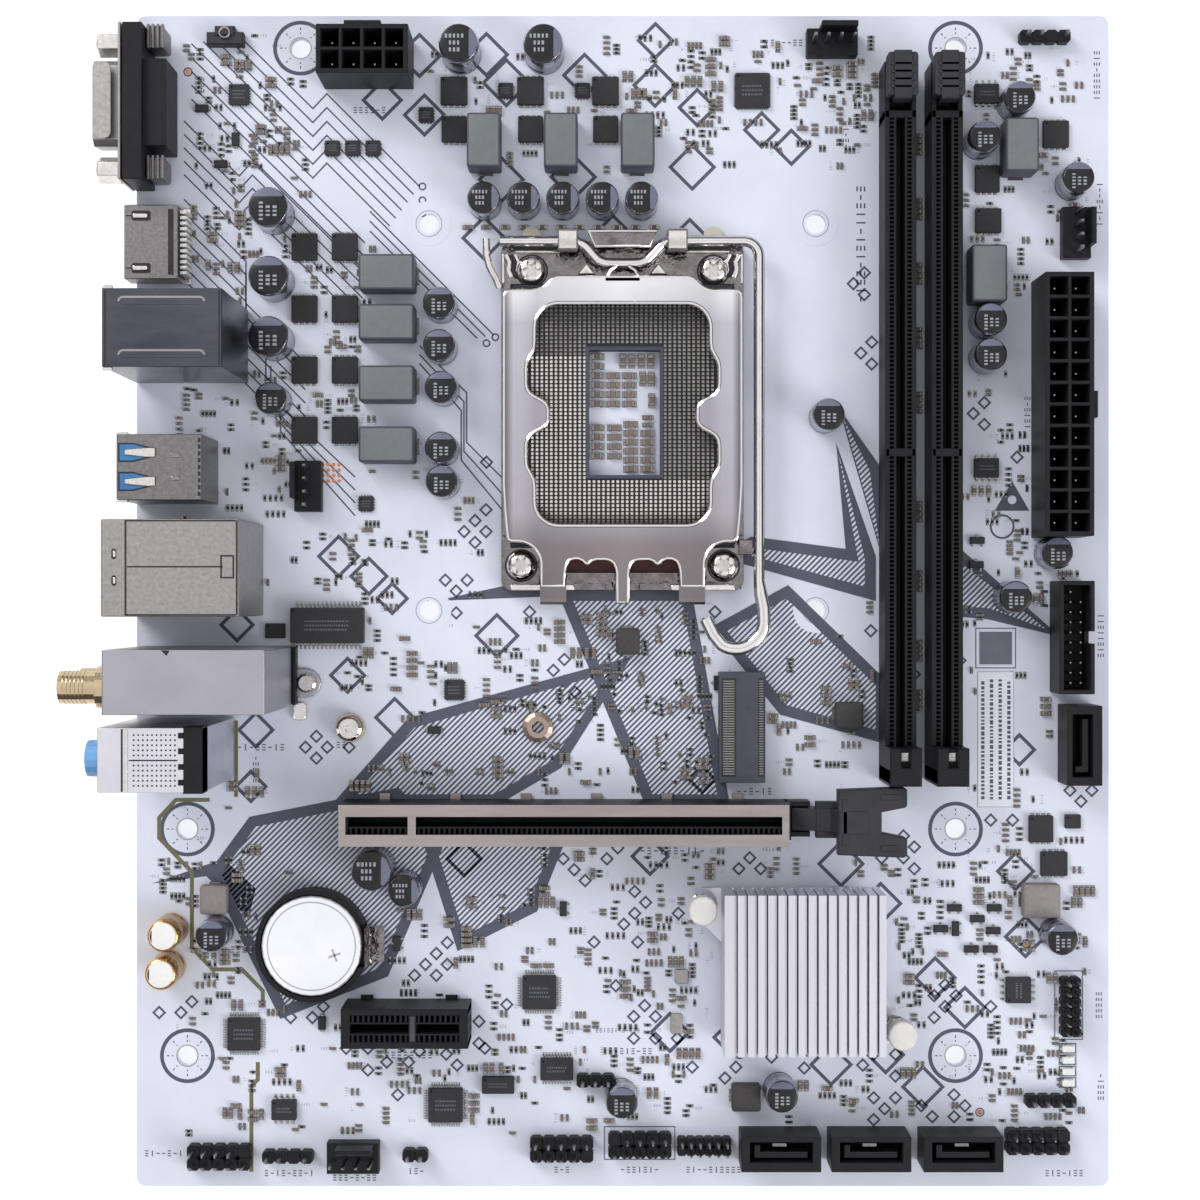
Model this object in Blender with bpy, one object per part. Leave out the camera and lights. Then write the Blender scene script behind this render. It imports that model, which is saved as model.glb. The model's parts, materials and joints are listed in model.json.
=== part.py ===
"""A micro-size computer motherboard, as an assembly of its separate pieces.

Board frame, in millimetres: X runs from the rear connector edge inwards, Y runs up the board from its
lower edge, and Z = 0 is the component face. The datum empty carries that frame to the world, whose
origin is the bottom centre of the whole object's box. Moving pieces have their origin on their axis.
"""

import math

import bmesh
import bpy

MM = 0.001
GAP = 0.3

# Board
BOARD_X = 196.0
BOARD_Y = 236.0
BOARD_T = 1.6
BOARD_CORNER_R = 1.8
PIN_TIP_Z = -3.6
ANTENNA_TIP_X = -8.0

# Case screws: the standard grid for this board size
SCREW_HOLE_R = 2.0
SCREW_COLUMN_1 = 10.16
SCREW_COLUMN_2 = SCREW_COLUMN_1 + 22.86
SCREW_COLUMN_3 = SCREW_COLUMN_1 + 154.94
SCREW_ROW_TOP = 229.5
SCREW_ROW_MIDDLE = SCREW_ROW_TOP - 157.48
SCREW_ROW_LOW = SCREW_ROW_MIDDLE - 45.72

# Processor socket and its independent loading mechanism
SOCKET_X = 97.9
SOCKET_Y = 155.1
COOLER_PITCH = 78.0
COOLER_HOLE_R = 2.05
COOLER_PAD_R = 4.6
COOLER_PAD_Z = 0.05
SOCKET_BODY = (44.0, 52.0, 4.3)
SOCKET_POCKET = (37.8, 45.3, 2.6)
SOCKET_WINDOW = (14.2, 25.0)
FILM_Z = (0.3, 0.5)
FRAME_Z = (0.8, 2.3)
FRAME_SIZE = (48.6, 70.0)
PLATE_Z = (4.9, 6.1)
ILM_SCREWS = ((-18.2, 29.1), (18.2, 29.1), (-20.3, -30.0), (20.3, -30.0))
ILM_HOLE_R = 1.6
LEVER_AXIS_Y = 34.6
LEVER_AXIS_Z = 4.8
LEVER_R = 1.0
LEVER_ARM_X = 27.2
LEVER_CRANK = 4.5
PLATE_AXIS_Y = 35.5
PLATE_AXIS_Z = 3.05
BACKPLATE_Z = (-3.4, -1.9)

# Memory sockets
DIMM_X = (152.7, 161.9)
DIMM_W = 6.2
DIMM_Y = (89.2, 214.8)
DIMM_TOP_Z = 9.0
DIMM_TOWER_Y = (82.0, 89.4)
DIMM_TOWER_Z = 16.0
DIMM_KEY_Y = 147.3
LATCH_PIVOT_Y = 222.5
LATCH_PIVOT_Z = 2.2

# Expansion slots
SLOT_KEY_X = (55.8, 57.3)
X16_X = (42.1, 130.9)
X16_Y = 74.6
X1_X = (42.5, 67.5)
X1_Y = 34.0
SLOT_TOP_Z = 10.9
SLOT_FLOOR_Z = 3.0
X16_PIVOT = (133.2, 2.6)

# Drive socket
M2_BOX = (117.2, 81.7, 126.4, 103.8)
M2_TOP_Z = 4.2
M2_FAR = (43.2, 92.5)
M2_NEAR = (80.9, 92.6)

# Rear connectors, top to bottom: middle and half width along Y, ends along X, top
VGA_Y = 215.9
VGA_Z = 6.4
VGA_FLANGE_HALF = 15.4
VGA_FLANGE_TOP_Z = 12.5
VGA_NUT_OFFSET = 12.5
HDMI_Y = 189.3
STACK_Y = 169.3
STACK_HALF = 7.4
STACK_TOP_Z = 28.3
ROUND_JACK_Z = 22.4
USB3_Y = 143.9
USB3_HALF = 6.4
USB3_TOP_Z = 17.0
LAN_Y = 124.25
LAN_HALF = 9.2
LAN_TOP_Z = 27.6
TONGUE_HALF = 5.5
TONGUE_X = (1.0, 13.0)
WIFI_X = (1.6, 31.7)
WIFI_Y = (97.0, 109.0)
WIFI_TOP_Z = 35.0
WIFI_WALL = 0.6
WIFI_FOOT = (34.4, 101.5)
WIFI_FOOT_R = 2.9
ANTENNA_Y = 101.8
ANTENNA_Z = (12.0, 27.0)
AUDIO_X = (0.3, 19.8)
AUDIO_Y = 88.5
AUDIO_HALF = 6.0
AUDIO_TOP_Z = 33.0
AUDIO_Z = (7.0, 17.4, 27.8)

# Power and drive connectors
WELL_PITCH = 4.2
WELL_HALF = 1.75
WELL_FLOOR_Z = 3.0
EPS_CENTRE = (46.9, 225.9)
ATX_CENTRE = (185.1, 156.5)
POWER_TOP_Z = 13.0
SATA_ROW_Y = 8.7
SATA_ROW_X = (129.2, 147.0, 165.2)
SATA_SIDE = (189.1, 89.4)

# Headers
USB3_HEADER_CENTRE = (187.5, 110.8)
PUMP_FAN_CENTRE = (139.9, 229.9)
CPU_FAN_CENTRE = (34.9, 141.0)
FRONT_PANEL_BOX = (175.0, 7.0, GAP, 187.5, 12.0, 2.8)

# Battery
CELL_CENTRE = (35.9, 49.2)
CELL_R = 10.0
CELL_SEAT_Z = 1.6
HOLDER_R = 11.3
HOLDER_TOP_Z = 4.6

# Chipset
HEATSINK = (117.6, 29.4, 149.0, 60.8)
HEATSINK_Z = (2.6, 4.6, 15.0)
FINS = 16
PUSH_PINS = ((113.55, 57.4), (152.6, 33.0))

# Pegs through the board: piece name to places
PEG = 1.2
PEG_HOLE = 1.8
PEGS = {
    "vga_housing": ((6.0, 209.5), (6.0, 222.5)),
    "audio_housing": ((14.0, 85.6), (14.0, 91.4)),
    "dimm_slot_a": ((DIMM_X[0], 85.6), (DIMM_X[0], 212.0)),
    "dimm_slot_b": ((DIMM_X[1], 85.6), (DIMM_X[1], 212.0)),
    "atx_connector": ((185.1, 135.0), (185.1, 178.0)),
    "eps_connector": ((42.0, 225.9), (51.8, 225.9)),
    "pcie_x16_slot": ((43.6, X16_Y), (126.0, X16_Y)),
    "pcie_x1_slot": ((44.2, X1_Y), (65.8, X1_Y)),
    "lan_usb_shell": ((21.0, 118.5), (21.0, 130.0)),
    "sata_connector_1": ((SATA_ROW_X[0], SATA_ROW_Y),),
    "sata_connector_3": ((SATA_ROW_X[2], SATA_ROW_Y),),
    "front_panel_header": ((177.4, 9.5), (185.1, 9.5)),
}


# ---------------------------------------------------------------- outlines


def rect(x0, y0, x1, y1):
    return [(x0, y0), (x1, y0), (x1, y1), (x0, y1)]


def centred(cx, cy, width, depth):
    return rect(cx - width / 2, cy - depth / 2, cx + width / 2, cy + depth / 2)


def arc(cx, cy, radius, start, end, steps):
    """Points along an arc, in degrees, both ends included."""
    points = []
    for step in range(steps + 1):
        angle = math.radians(start + (end - start) * step / steps)
        points.append((cx + radius * math.cos(angle), cy + radius * math.sin(angle)))
    return points


def circle(cx, cy, radius, sides):
    return arc(cx, cy, radius, 0, 360, sides)[:-1]


def rounded(x0, y0, x1, y1, radius, steps=4):
    corners = ((x1 - radius, y0 + radius, -90), (x1 - radius, y1 - radius, 0),
               (x0 + radius, y1 - radius, 90), (x0 + radius, y0 + radius, 180))
    points = []
    for cx, cy, start in corners:
        points += arc(cx, cy, radius, start, start + 90, steps)
    return points


def mirrored(half):
    """A closed outline from its right half, listed from the bottom centre to the top centre."""
    return half + [(-x, y) for x, y in reversed(half) if x > 0]


# ---------------------------------------------------------------- solids


def placed(u, v, w, along):
    """Outline coordinates (u, v) and the height w, turned so that the outline stands across an axis."""
    if along == "x":
        return (w, u, v)
    if along == "y":
        return (u, w, v)
    return (u, v, w)


def prism(loops, low, high, along="z", into=None):
    """A straight solid on an outline, with any further outlines as holes through it."""
    bm = into or bmesh.new()
    edges = []
    for loop in loops:
        verts = [bm.verts.new(placed(u, v, low, along)) for u, v in loop]
        for a, b in zip(verts, verts[1:] + verts[:1]):
            edges.append(bm.edges.new((a, b)))
    filled = bmesh.ops.triangle_fill(bm, edges=edges, use_beauty=True)
    faces = [item for item in filled["geom"] if isinstance(item, bmesh.types.BMFace)]
    raised = bmesh.ops.extrude_face_region(bm, geom=faces)
    verts = [item for item in raised["geom"] if isinstance(item, bmesh.types.BMVert)]
    bmesh.ops.translate(bm, verts=verts, vec=placed(0, 0, high - low, along))
    bmesh.ops.recalc_face_normals(bm, faces=bm.faces)
    return bm


def boxes(*corners):
    """One or more separate boxes, each (x0, y0, z0, x1, y1, z1)."""
    bm = bmesh.new()
    for x0, y0, z0, x1, y1, z1 in corners:
        prism([rect(x0, y0, x1, y1)], z0, z1, into=bm)
    return bm


def lathe(profile, sides, centre, along="z"):
    """A turned solid. The profile is (radius, height) from one end of the axis to the other."""
    bm = bmesh.new()
    rings = []
    for radius, height in profile:
        if radius == 0:
            rings.append([bm.verts.new(placed(centre[0], centre[1], height, along))])
            continue
        points = circle(centre[0], centre[1], radius, sides)
        rings.append([bm.verts.new(placed(u, v, height, along)) for u, v in points])
    for low, high in zip(rings, rings[1:]):
        for i in range(sides):
            j = (i + 1) % sides
            corners = [low[i % len(low)], low[j % len(low)], high[j % len(high)], high[i % len(high)]]
            bm.faces.new(list(dict.fromkeys(corners)))
    bmesh.ops.recalc_face_normals(bm, faces=bm.faces)
    return bm


# ---------------------------------------------------------------- objects


def material(name, colour, roughness, metallic):
    made = bpy.data.materials.get(name)
    if made:
        return made
    made = bpy.data.materials.new(name)
    made.use_nodes = True
    shader = made.node_tree.nodes["Principled BSDF"]
    shader.inputs["Base Color"].default_value = (*colour, 1.0)
    shader.inputs["Roughness"].default_value = roughness
    shader.inputs["Metallic"].default_value = metallic
    return made


def board_white():
    return material("board_white", (0.80, 0.81, 0.90), 0.45, 0.0)


def black_plastic():
    return material("black_plastic", (0.022, 0.022, 0.026), 0.5, 0.0)


def grey_plastic():
    return material("grey_plastic", (0.05, 0.05, 0.055), 0.55, 0.0)


def tin_steel():
    return material("tin_steel", (0.62, 0.60, 0.60), 0.35, 1.0)


def nickel_steel():
    return material("nickel_steel", (0.58, 0.56, 0.55), 0.28, 1.0)


def gold_plate():
    return material("gold_plate", (0.80, 0.58, 0.25), 0.3, 1.0)


def mesh_object(name, bm, look, pivot=(0, 0, 0)):
    """An object under the datum, its mesh in metres about the pivot."""
    mesh = bpy.data.meshes.new(name)
    for vert in bm.verts:
        vert.co = [(vert.co[i] - pivot[i]) * MM for i in range(3)]
    bm.to_mesh(mesh)
    bm.free()
    obj = bpy.data.objects.new(name, mesh)
    bpy.context.scene.collection.objects.link(obj)
    obj.parent = bpy.data.objects["datum"]
    obj.location = [value * MM for value in pivot]
    obj.data.materials.append(look)
    return obj


def part(name, bm, look, pivot=(0, 0, 0), smooth=False):
    obj = mesh_object(name, bm, look, pivot)
    if smooth:
        obj.data.shade_smooth()
        obj.data.set_sharp_from_angle(angle=math.radians(35))
    for x, y in PEGS.get(name, ()):
        add(obj, boxes((x - PEG / 2, y - PEG / 2, PIN_TIP_Z, x + PEG / 2, y + PEG / 2, 1.0)))
    return obj


def tool(obj, bm, operation):
    """A hidden helper body, joined to or taken from the object by a Boolean modifier."""
    label = f"{obj.name}_{operation.lower()}_{len(obj.modifiers)}"
    pivot = [value / MM for value in obj.location]
    helper = mesh_object(label, bm, obj.data.materials[0], pivot)
    helper.hide_render = True
    helper.display_type = "WIRE"
    change = obj.modifiers.new(label, "BOOLEAN")
    change.operation = operation
    change.object = helper


def add(obj, bm):
    tool(obj, bm, "UNION")


def cut(obj, bm):
    tool(obj, bm, "DIFFERENCE")


def wire(name, points, radius, look, pivot, resolution):
    """A round wire along a list of points, as a bevelled curve."""
    curve = bpy.data.curves.new(name, "CURVE")
    curve.dimensions = "3D"
    curve.bevel_depth = radius * MM
    curve.bevel_resolution = resolution
    curve.use_fill_caps = True
    spline = curve.splines.new("POLY")
    spline.points.add(len(points) - 1)
    for slot, point in zip(spline.points, points):
        slot.co = [(point[i] - pivot[i]) * MM for i in range(3)] + [1.0]
    obj = bpy.data.objects.new(name, curve)
    bpy.context.scene.collection.objects.link(obj)
    obj.parent = bpy.data.objects["datum"]
    obj.location = [value * MM for value in pivot]
    obj.data.materials.append(look)
    return obj


# ---------------------------------------------------------------- board


def screw_places():
    return [(SCREW_COLUMN_2, SCREW_ROW_TOP), (SCREW_COLUMN_3, SCREW_ROW_TOP),
            (SCREW_COLUMN_1, SCREW_ROW_MIDDLE), (SCREW_COLUMN_3, SCREW_ROW_MIDDLE),
            (SCREW_COLUMN_1, SCREW_ROW_LOW), (SCREW_COLUMN_3, SCREW_ROW_LOW)]


def cooler_places():
    half = COOLER_PITCH / 2
    return [(SOCKET_X + i * half, SOCKET_Y + j * half) for i in (-1, 1) for j in (-1, 1)]


def ilm_screw_places():
    return [(SOCKET_X + x, SOCKET_Y + y) for x, y in ILM_SCREWS]


def make_board():
    """A plate with its holes, and a thin raised pad round each cooler hole."""
    loops = [rounded(0, 0, BOARD_X, BOARD_Y, BOARD_CORNER_R)]
    loops += [circle(x, y, SCREW_HOLE_R, 20) for x, y in screw_places()]
    loops += [circle(x, y, ILM_HOLE_R, 12) for x, y in ilm_screw_places()]
    loops += [circle(x, y, ILM_HOLE_R, 12) for x, y in PUSH_PINS]
    for places in PEGS.values():
        loops += [centred(x, y, PEG_HOLE, PEG_HOLE) for x, y in places]
    board = part("circuit_board", prism(loops, -BOARD_T, 0), board_white())
    pads = bmesh.new()
    holes = bmesh.new()
    for x, y in cooler_places():
        prism([circle(x, y, COOLER_PAD_R, 16)], -BOARD_T / 2, COOLER_PAD_Z, into=pads)
        prism([circle(x, y, COOLER_HOLE_R, 16)], -BOARD_T - 1, COOLER_PAD_Z + 1, into=holes)
    add(board, pads)
    cut(board, holes)


# ---------------------------------------------------------------- processor socket


def make_socket_body():
    width, depth, top = SOCKET_BODY
    body = prism([centred(SOCKET_X, SOCKET_Y, width, depth),
                  centred(SOCKET_X + 0.4, SOCKET_Y + 0.6, *SOCKET_WINDOW)], GAP, top)
    obj = part("socket_body", body, grey_plastic())
    width, depth, floor = SOCKET_POCKET
    cut(obj, prism([centred(SOCKET_X, SOCKET_Y, width, depth)], floor, top + 1))


def make_film():
    right = [(0.0, -31.8), (6.2, -31.8), (6.2, -34.6), (24.0, -34.6), (24.0, 34.6), (0.0, 34.6)]
    loops = [[(SOCKET_X + x, SOCKET_Y + y) for x, y in mirrored(right)],
             centred(SOCKET_X, SOCKET_Y, 45.0, 53.0)]
    loops += [circle(x, y, ILM_HOLE_R, 12) for x, y in ilm_screw_places()]
    look = material("brown_film", (0.20, 0.09, 0.07), 0.4, 0.0)
    part("insulating_film", prism(loops, *FILM_Z), look)


def hook_outline():
    """The side view of a lever hook: up behind the wire, over it and down in front."""
    y = SOCKET_Y + LEVER_AXIS_Y
    z = LEVER_AXIS_Z
    reach = LEVER_R + GAP
    wall = 0.8
    return [(y - reach - wall, z - 0.6), (y - reach, z - 0.6), (y - reach, z + reach),
            (y + reach, z + reach), (y + reach, FRAME_Z[1] - 0.2), (y - 0.6, FRAME_Z[1] - 0.2),
            (y - 0.6, FRAME_Z[0] + 0.4), (y + reach + wall, FRAME_Z[0] + 0.4),
            (y + reach + wall, z + reach + wall), (y - reach - wall, z + reach + wall)]


def make_frame():
    width, depth = FRAME_SIZE
    inner = [(0.0, -31.4), (15.6, -31.4), (15.6, -26.4), (22.4, -26.4), (22.4, 26.4), (0.0, 26.4)]
    loops = [rounded(SOCKET_X - width / 2, SOCKET_Y - depth / 2, SOCKET_X + width / 2,
                     SOCKET_Y + depth / 2, 2.0),
             [(SOCKET_X + x, SOCKET_Y + y) for x, y in mirrored(inner)]]
    loops += [circle(x, y, ILM_HOLE_R, 12) for x, y in ilm_screw_places()]
    obj = part("ilm_frame", prism(loops, *FRAME_Z), nickel_steel())
    for side in (-1, 1):
        middle = SOCKET_X + side * 10.9
        add(obj, prism([hook_outline()], middle - 2.0, middle + 2.0, along="x"))
    low_wall_y = SOCKET_Y - 34.9
    for x0, x1 in ((-22.0, -3.4), (3.4, 22.0)):
        add(obj, boxes((SOCKET_X + x0, low_wall_y, FRAME_Z[0] + 0.3, SOCKET_X + x1, low_wall_y + 1.2, 4.3)))
    for side in (-1, 1):
        edge = SOCKET_X + side * 23.4
        add(obj, boxes((edge - 0.6, SOCKET_Y - 24.0, FRAME_Z[0] + 0.3, edge + 0.6, SOCKET_Y + 22.0, 4.3)))
    catch_y = SOCKET_Y - 26.4
    add(obj, boxes((SOCKET_X + 23.2, catch_y - 1.4, FRAME_Z[0] + 0.2, SOCKET_X + 25.8, catch_y + 1.4, 5.6)))


def plate_outline():
    """Right half from the bottom centre: finger tab, lobed notch, hook, screw cut-outs and top edge."""
    right = [(0.0, -37.6), (1.35, -37.6), (1.35, -31.6), (1.8, -29.8), (3.2, -29.0), (5.4, -29.0),
             (6.5, -29.8), (7.4, -29.8), (8.4, -28.9), (10.0, -28.9), (11.2, -30.2), (11.4, -34.4),
             (16.4, -34.4), (16.4, -29.8)]
    right += arc(20.8, -29.8, 4.4, 180, 90, 4)[1:]
    right += [(23.1, -25.4), (23.1, 22.4)]
    right += arc(20.6, 28.9, 6.5, -67, -150, 5)
    right += [(11.5, 27.6), (0.0, 27.6)]
    return [(SOCKET_X + x, SOCKET_Y + y) for x, y in mirrored(right)]


def plate_window():
    """Rounded corners, and on each side two lobes with a rounded tab between them."""
    half_x, half_y, corner = 17.5, 22.1, 4.8
    side = [(half_x, 12.8), (half_x + 1.7, 10.2), (half_x + 1.7, 5.8), (half_x + 0.8, 4.0),
            (15.6, 2.6), (14.8, 1.1)]
    right = [(0.0, -half_y)]
    right += arc(half_x - corner, corner - half_y, corner, -90, 0, 4)
    right += [(x, -y) for x, y in side]
    right += side[::-1]
    right += arc(half_x - corner, half_y - corner, corner, 0, 90, 4)
    right += [(0.0, half_y)]
    return [(SOCKET_X + x, SOCKET_Y + y) for x, y in mirrored(right)]


def make_load_plate():
    pivot = (SOCKET_X, SOCKET_Y + PLATE_AXIS_Y, PLATE_AXIS_Z)
    body = prism([plate_outline(), plate_window()], *PLATE_Z)
    obj = part("load_plate", body, nickel_steel(), pivot)
    y = pivot[1]
    low, high = PLATE_AXIS_Z - 0.45, PLATE_AXIS_Z + 0.45
    tail = [(y + 0.6, low), (y + 0.6, 5.6), (y - 0.4, 5.6), (y - 0.4, high), (y - 7.5, high),
            (y - 7.5, PLATE_Z[1]), (y - 9.0, PLATE_Z[1]), (y - 9.0, PLATE_Z[0]),
            (y - 8.3, PLATE_Z[0]), (y - 8.3, low)]
    add(obj, prism([tail], SOCKET_X - 3.4, SOCKET_X + 3.4, along="x"))
    hook_y = SOCKET_Y - 34.0
    hook = [(hook_y, PLATE_Z[0]), (hook_y, PLATE_Z[1]), (hook_y - 3.0, PLATE_Z[1] - 0.2),
            (hook_y - 3.8, PLATE_Z[0]), (hook_y - 3.8, 3.4), (hook_y - 2.8, 3.4),
            (hook_y - 2.8, PLATE_Z[0])]
    for side in (-1, 1):
        middle = SOCKET_X + side * 13.8
        add(obj, prism([hook], middle - 2.6, middle + 2.6, along="x"))


def lever_path():
    """From the free end, along the hinge run with its crank, round the corner and down to the hook."""
    run_y = SOCKET_Y + LEVER_AXIS_Y
    arm_x = SOCKET_X + LEVER_ARM_X
    points = [(-24.4, 0.0), (-8.6, 0.0), (-7.9, -0.4), (-4.8, -LEVER_CRANK + 0.3), (-4.0, -LEVER_CRANK),
              (4.0, -LEVER_CRANK), (4.8, -LEVER_CRANK + 0.3), (7.9, -0.4), (8.6, 0.0)]
    path = [(SOCKET_X + x, run_y + y) for x, y in points]
    path += arc(arm_x - 3.0, run_y - 3.0, 3.0, 90, 0, 4)
    path += [(arm_x, SOCKET_Y - 34.0), (arm_x + 1.1, SOCKET_Y - 38.5)]
    path += arc(arm_x - 4.6, SOCKET_Y - 41.0, 5.6, 0, -120, 6)
    path += [(arm_x - 10.6, SOCKET_Y - 40.6)]
    return [(x, y, LEVER_AXIS_Z) for x, y in path]


def make_lever():
    pivot = (SOCKET_X, SOCKET_Y + LEVER_AXIS_Y, LEVER_AXIS_Z)
    wire("lever", lever_path(), LEVER_R, nickel_steel(), pivot, 2)


def make_backplate():
    loops = [rounded(SOCKET_X - 25.5, SOCKET_Y - 36.0, SOCKET_X + 25.5, SOCKET_Y + 36.0, 4.0),
             centred(SOCKET_X, SOCKET_Y, 22.0, 28.0)]
    loops += [circle(x, y, ILM_HOLE_R, 12) for x, y in ilm_screw_places()]
    look = material("dark_steel", (0.12, 0.12, 0.13), 0.4, 1.0)
    part("socket_backplate", prism(loops, *BACKPLATE_Z), look)


def make_ilm_screws():
    head = FRAME_Z[1] + GAP
    profile = [(0, -3.2), (1.2, -3.2), (1.2, head), (2.9, head), (2.9, head + 1.1), (2.2, head + 1.9),
               (0.9, head + 1.9), (0.9, head + 0.9), (0, head + 0.9)]
    for count, place in enumerate(ilm_screw_places(), 1):
        part(f"ilm_screw_{count}", lathe(profile, 12, place), nickel_steel(), smooth=True)


# ---------------------------------------------------------------- memory


def make_dimm_slot(name, x):
    half = DIMM_W / 2
    cheek = 1.0
    body = boxes((x - half, DIMM_Y[0], GAP, x + half, DIMM_Y[1], DIMM_TOP_Z))
    obj = part(name, body, black_plastic())
    add(obj, boxes((x - half, DIMM_TOWER_Y[0], GAP, x + half, DIMM_TOWER_Y[1], DIMM_TOWER_Z)))
    cheek_y = (DIMM_Y[1] - 0.5, 224.5)
    add(obj, boxes((x - half, cheek_y[0], GAP, x - half + cheek, cheek_y[1], 8.6),
                   (x + half - cheek, cheek_y[0], GAP, x + half, cheek_y[1], 8.6)))
    cut(obj, boxes((x - 0.8, 85.6, 3.0, x + 0.8, DIMM_KEY_Y - 0.8, 20.0),
                   (x - 0.8, DIMM_KEY_Y + 0.8, 3.0, x + 0.8, 216.0, 20.0)))


def make_dimm_latch(name, x):
    pivot = (x, LATCH_PIVOT_Y, LATCH_PIVOT_Z)
    stem = [(217.0, 0.9), (223.4, 0.9), (224.4, 1.6), (225.0, 9.0), (225.8, 9.2), (225.8, 12.6),
            (216.2, 12.6), (216.2, 9.3), (217.8, 9.3), (217.8, 3.4), (217.0, 3.0)]
    obj = part(name, prism([stem], x - 1.7, x + 1.7, along="x"), grey_plastic(), pivot)
    add(obj, boxes((x - 3.0, 217.0, 9.2, x + 3.0, 225.5, 12.4)))


# ---------------------------------------------------------------- expansion slots


def make_edge_slot(name, x_range, y, half, key=SLOT_KEY_X):
    x0, x1 = x_range
    obj = part(name, boxes((x0, y - half, GAP, x1, y + half, SLOT_TOP_Z)), black_plastic())
    cut(obj, boxes((x0 + 1.8, y - 0.9, SLOT_FLOOR_Z, key[0], y + 0.9, 12.0),
                   (key[1], y - 0.9, SLOT_FLOOR_Z, x1 - 1.8, y + 0.9, 12.0)))
    return obj


def make_x16():
    slot = make_edge_slot("pcie_x16_slot", X16_X, X16_Y, 3.5)
    cheeks = []
    for side in (-1, 1):
        inner, outer = sorted((X16_Y + side * 2.5, X16_Y + side * 3.5))
        cheeks.append((X16_X[1] - 0.5, inner, GAP, 135.2, outer, 5.4))
    add(slot, boxes(*cheeks))
    make_x16_shield()
    make_x16_latch()


def make_x16_shield():
    outer, inner, top = 4.1, 3.8, SLOT_TOP_Z + GAP
    x0, x1 = X16_X[0], X16_X[1] - 0.4
    body = boxes((x0, X16_Y - outer, GAP, x1, X16_Y + outer, top + 0.3))
    obj = part("pcie_x16_shield", body, tin_steel())
    cut(obj, boxes((x0 - 1, X16_Y - inner, 0.1, x1 + 1, X16_Y + inner, top)))
    cut(obj, boxes((x0 + 1.4, X16_Y - 1.75, top - 1, x1 - 1.4, X16_Y + 1.75, top + 2)))
    add(obj, boxes((x0 + 2, X16_Y - 5.4, GAP + 0.1, x1 - 2, X16_Y - outer + 0.1, GAP + 0.5)))


def make_x16_latch():
    pivot = (X16_PIVOT[0], X16_Y, X16_PIVOT[1])
    arm = [(131.6, 1.4), (135.0, 1.2), (141.0, 3.4), (141.0, 7.6), (146.0, 8.6), (146.0, 12.0),
           (140.2, 12.0), (139.0, 7.6), (131.6, 5.2)]
    look = grey_plastic()
    obj = part("pcie_x16_latch", prism([arm], X16_Y - 2.2, X16_Y + 2.2, along="y"), look, pivot)
    head = [(140.0, -6.4), (153.6, -6.9), (153.6, -2.9), (148.6, -2.0), (148.6, 2.0), (153.6, 2.9),
            (153.6, 6.9), (140.0, 6.4)]
    add(obj, prism([[(x, X16_Y + y) for x, y in head]], 8.8, 11.8))
    add(obj, prism([rect(136.2, X16_Y - 3.6, 140.8, X16_Y + 3.6)], 4.6, 7.0))


def make_x1():
    make_edge_slot("pcie_x1_slot", X1_X, X1_Y, 3.9)


# ---------------------------------------------------------------- drive socket


def make_m2():
    x0, y0, x1, y1 = M2_BOX
    socket = part("m2_socket", boxes((x0, y0, GAP, x1, y1, M2_TOP_Z)), grey_plastic())
    cut(socket, boxes((x0 - 1, y0 + 1.0, 1.9, x0 + 5.5, y1 - 1.0, 3.2)))
    standoff = [(0, GAP), (2.9, GAP), (2.9, 2.0), (1.9, 2.0), (1.9, 2.6), (1.1, 2.6), (1.1, 1.0), (0, 1.0)]
    part("m2_standoff", lathe(standoff, 14, M2_FAR), gold_plate(), smooth=True)
    screw = [(0, 1.3), (0.8, 1.3), (0.8, 2.9), (2.6, 2.9), (2.6, 3.6), (2.0, 4.0), (0.7, 4.0), (0.7, 3.4),
             (0, 3.4)]
    part("m2_screw", lathe(screw, 14, M2_FAR), tin_steel(), smooth=True)
    nut = [(1.2, GAP), (3.1, GAP), (3.1, 0.9), (2.2, 1.4), (1.2, 1.4)]
    part("m2_nut", lathe(nut + nut[:1], 14, M2_NEAR), gold_plate(), smooth=True)


# ---------------------------------------------------------------- rear connectors


def d_outline(y, z, wide, narrow, height, corner=1.2):
    """A D outline, wide at the top, with rounded corners."""
    half = height / 2
    right = [(0.0, -half), (narrow / 2 - corner, -half), (narrow / 2, corner - half),
             (wide / 2, half - corner), (wide / 2 - corner, half), (0.0, half)]
    return [(y + u, z + v) for u, v in mirrored(right)]


def make_vga():
    z = VGA_Z
    flange = rect(VGA_Y - VGA_FLANGE_HALF, GAP, VGA_Y + VGA_FLANGE_HALF, VGA_FLANGE_TOP_Z)
    front = prism([flange], 0.0, 3.8, along="x")
    housing = part("vga_housing", front, black_plastic())
    add(housing, boxes((3.0, VGA_Y - 8.6, GAP, 8.3, VGA_Y + 8.6, 11.0)))
    inner = d_outline(VGA_Y, z, 15.9, 14.7, 7.4)
    shell = part("vga_shell", prism([flange, inner], -0.9, -GAP, along="x"), tin_steel())
    add(shell, prism([d_outline(VGA_Y, z, 16.9, 15.7, 8.4), inner], -6.3, -0.5, along="x"))
    for count, side in enumerate((1, -1), 1):
        centre = (VGA_Y + side * VGA_NUT_OFFSET, z)
        nut = prism([circle(*centre, 2.7, 6), circle(*centre, 1.3, 8)], -6.0, -1.2, along="x")
        part(f"vga_jack_nut_{count}", nut, tin_steel())


def usb_mouth(y, z):
    """The cavity of one flat serial port."""
    return (-1.0, y - 6.2, z, 12.0, y + 6.2, z + 5.2)


def usb_tongue(y, z):
    """The contact tongue in such a cavity, standing on the cavity's back wall."""
    return (TONGUE_X[0], y - TONGUE_HALF, z, TONGUE_X[1], y + TONGUE_HALF, z + 1.8)


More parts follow.
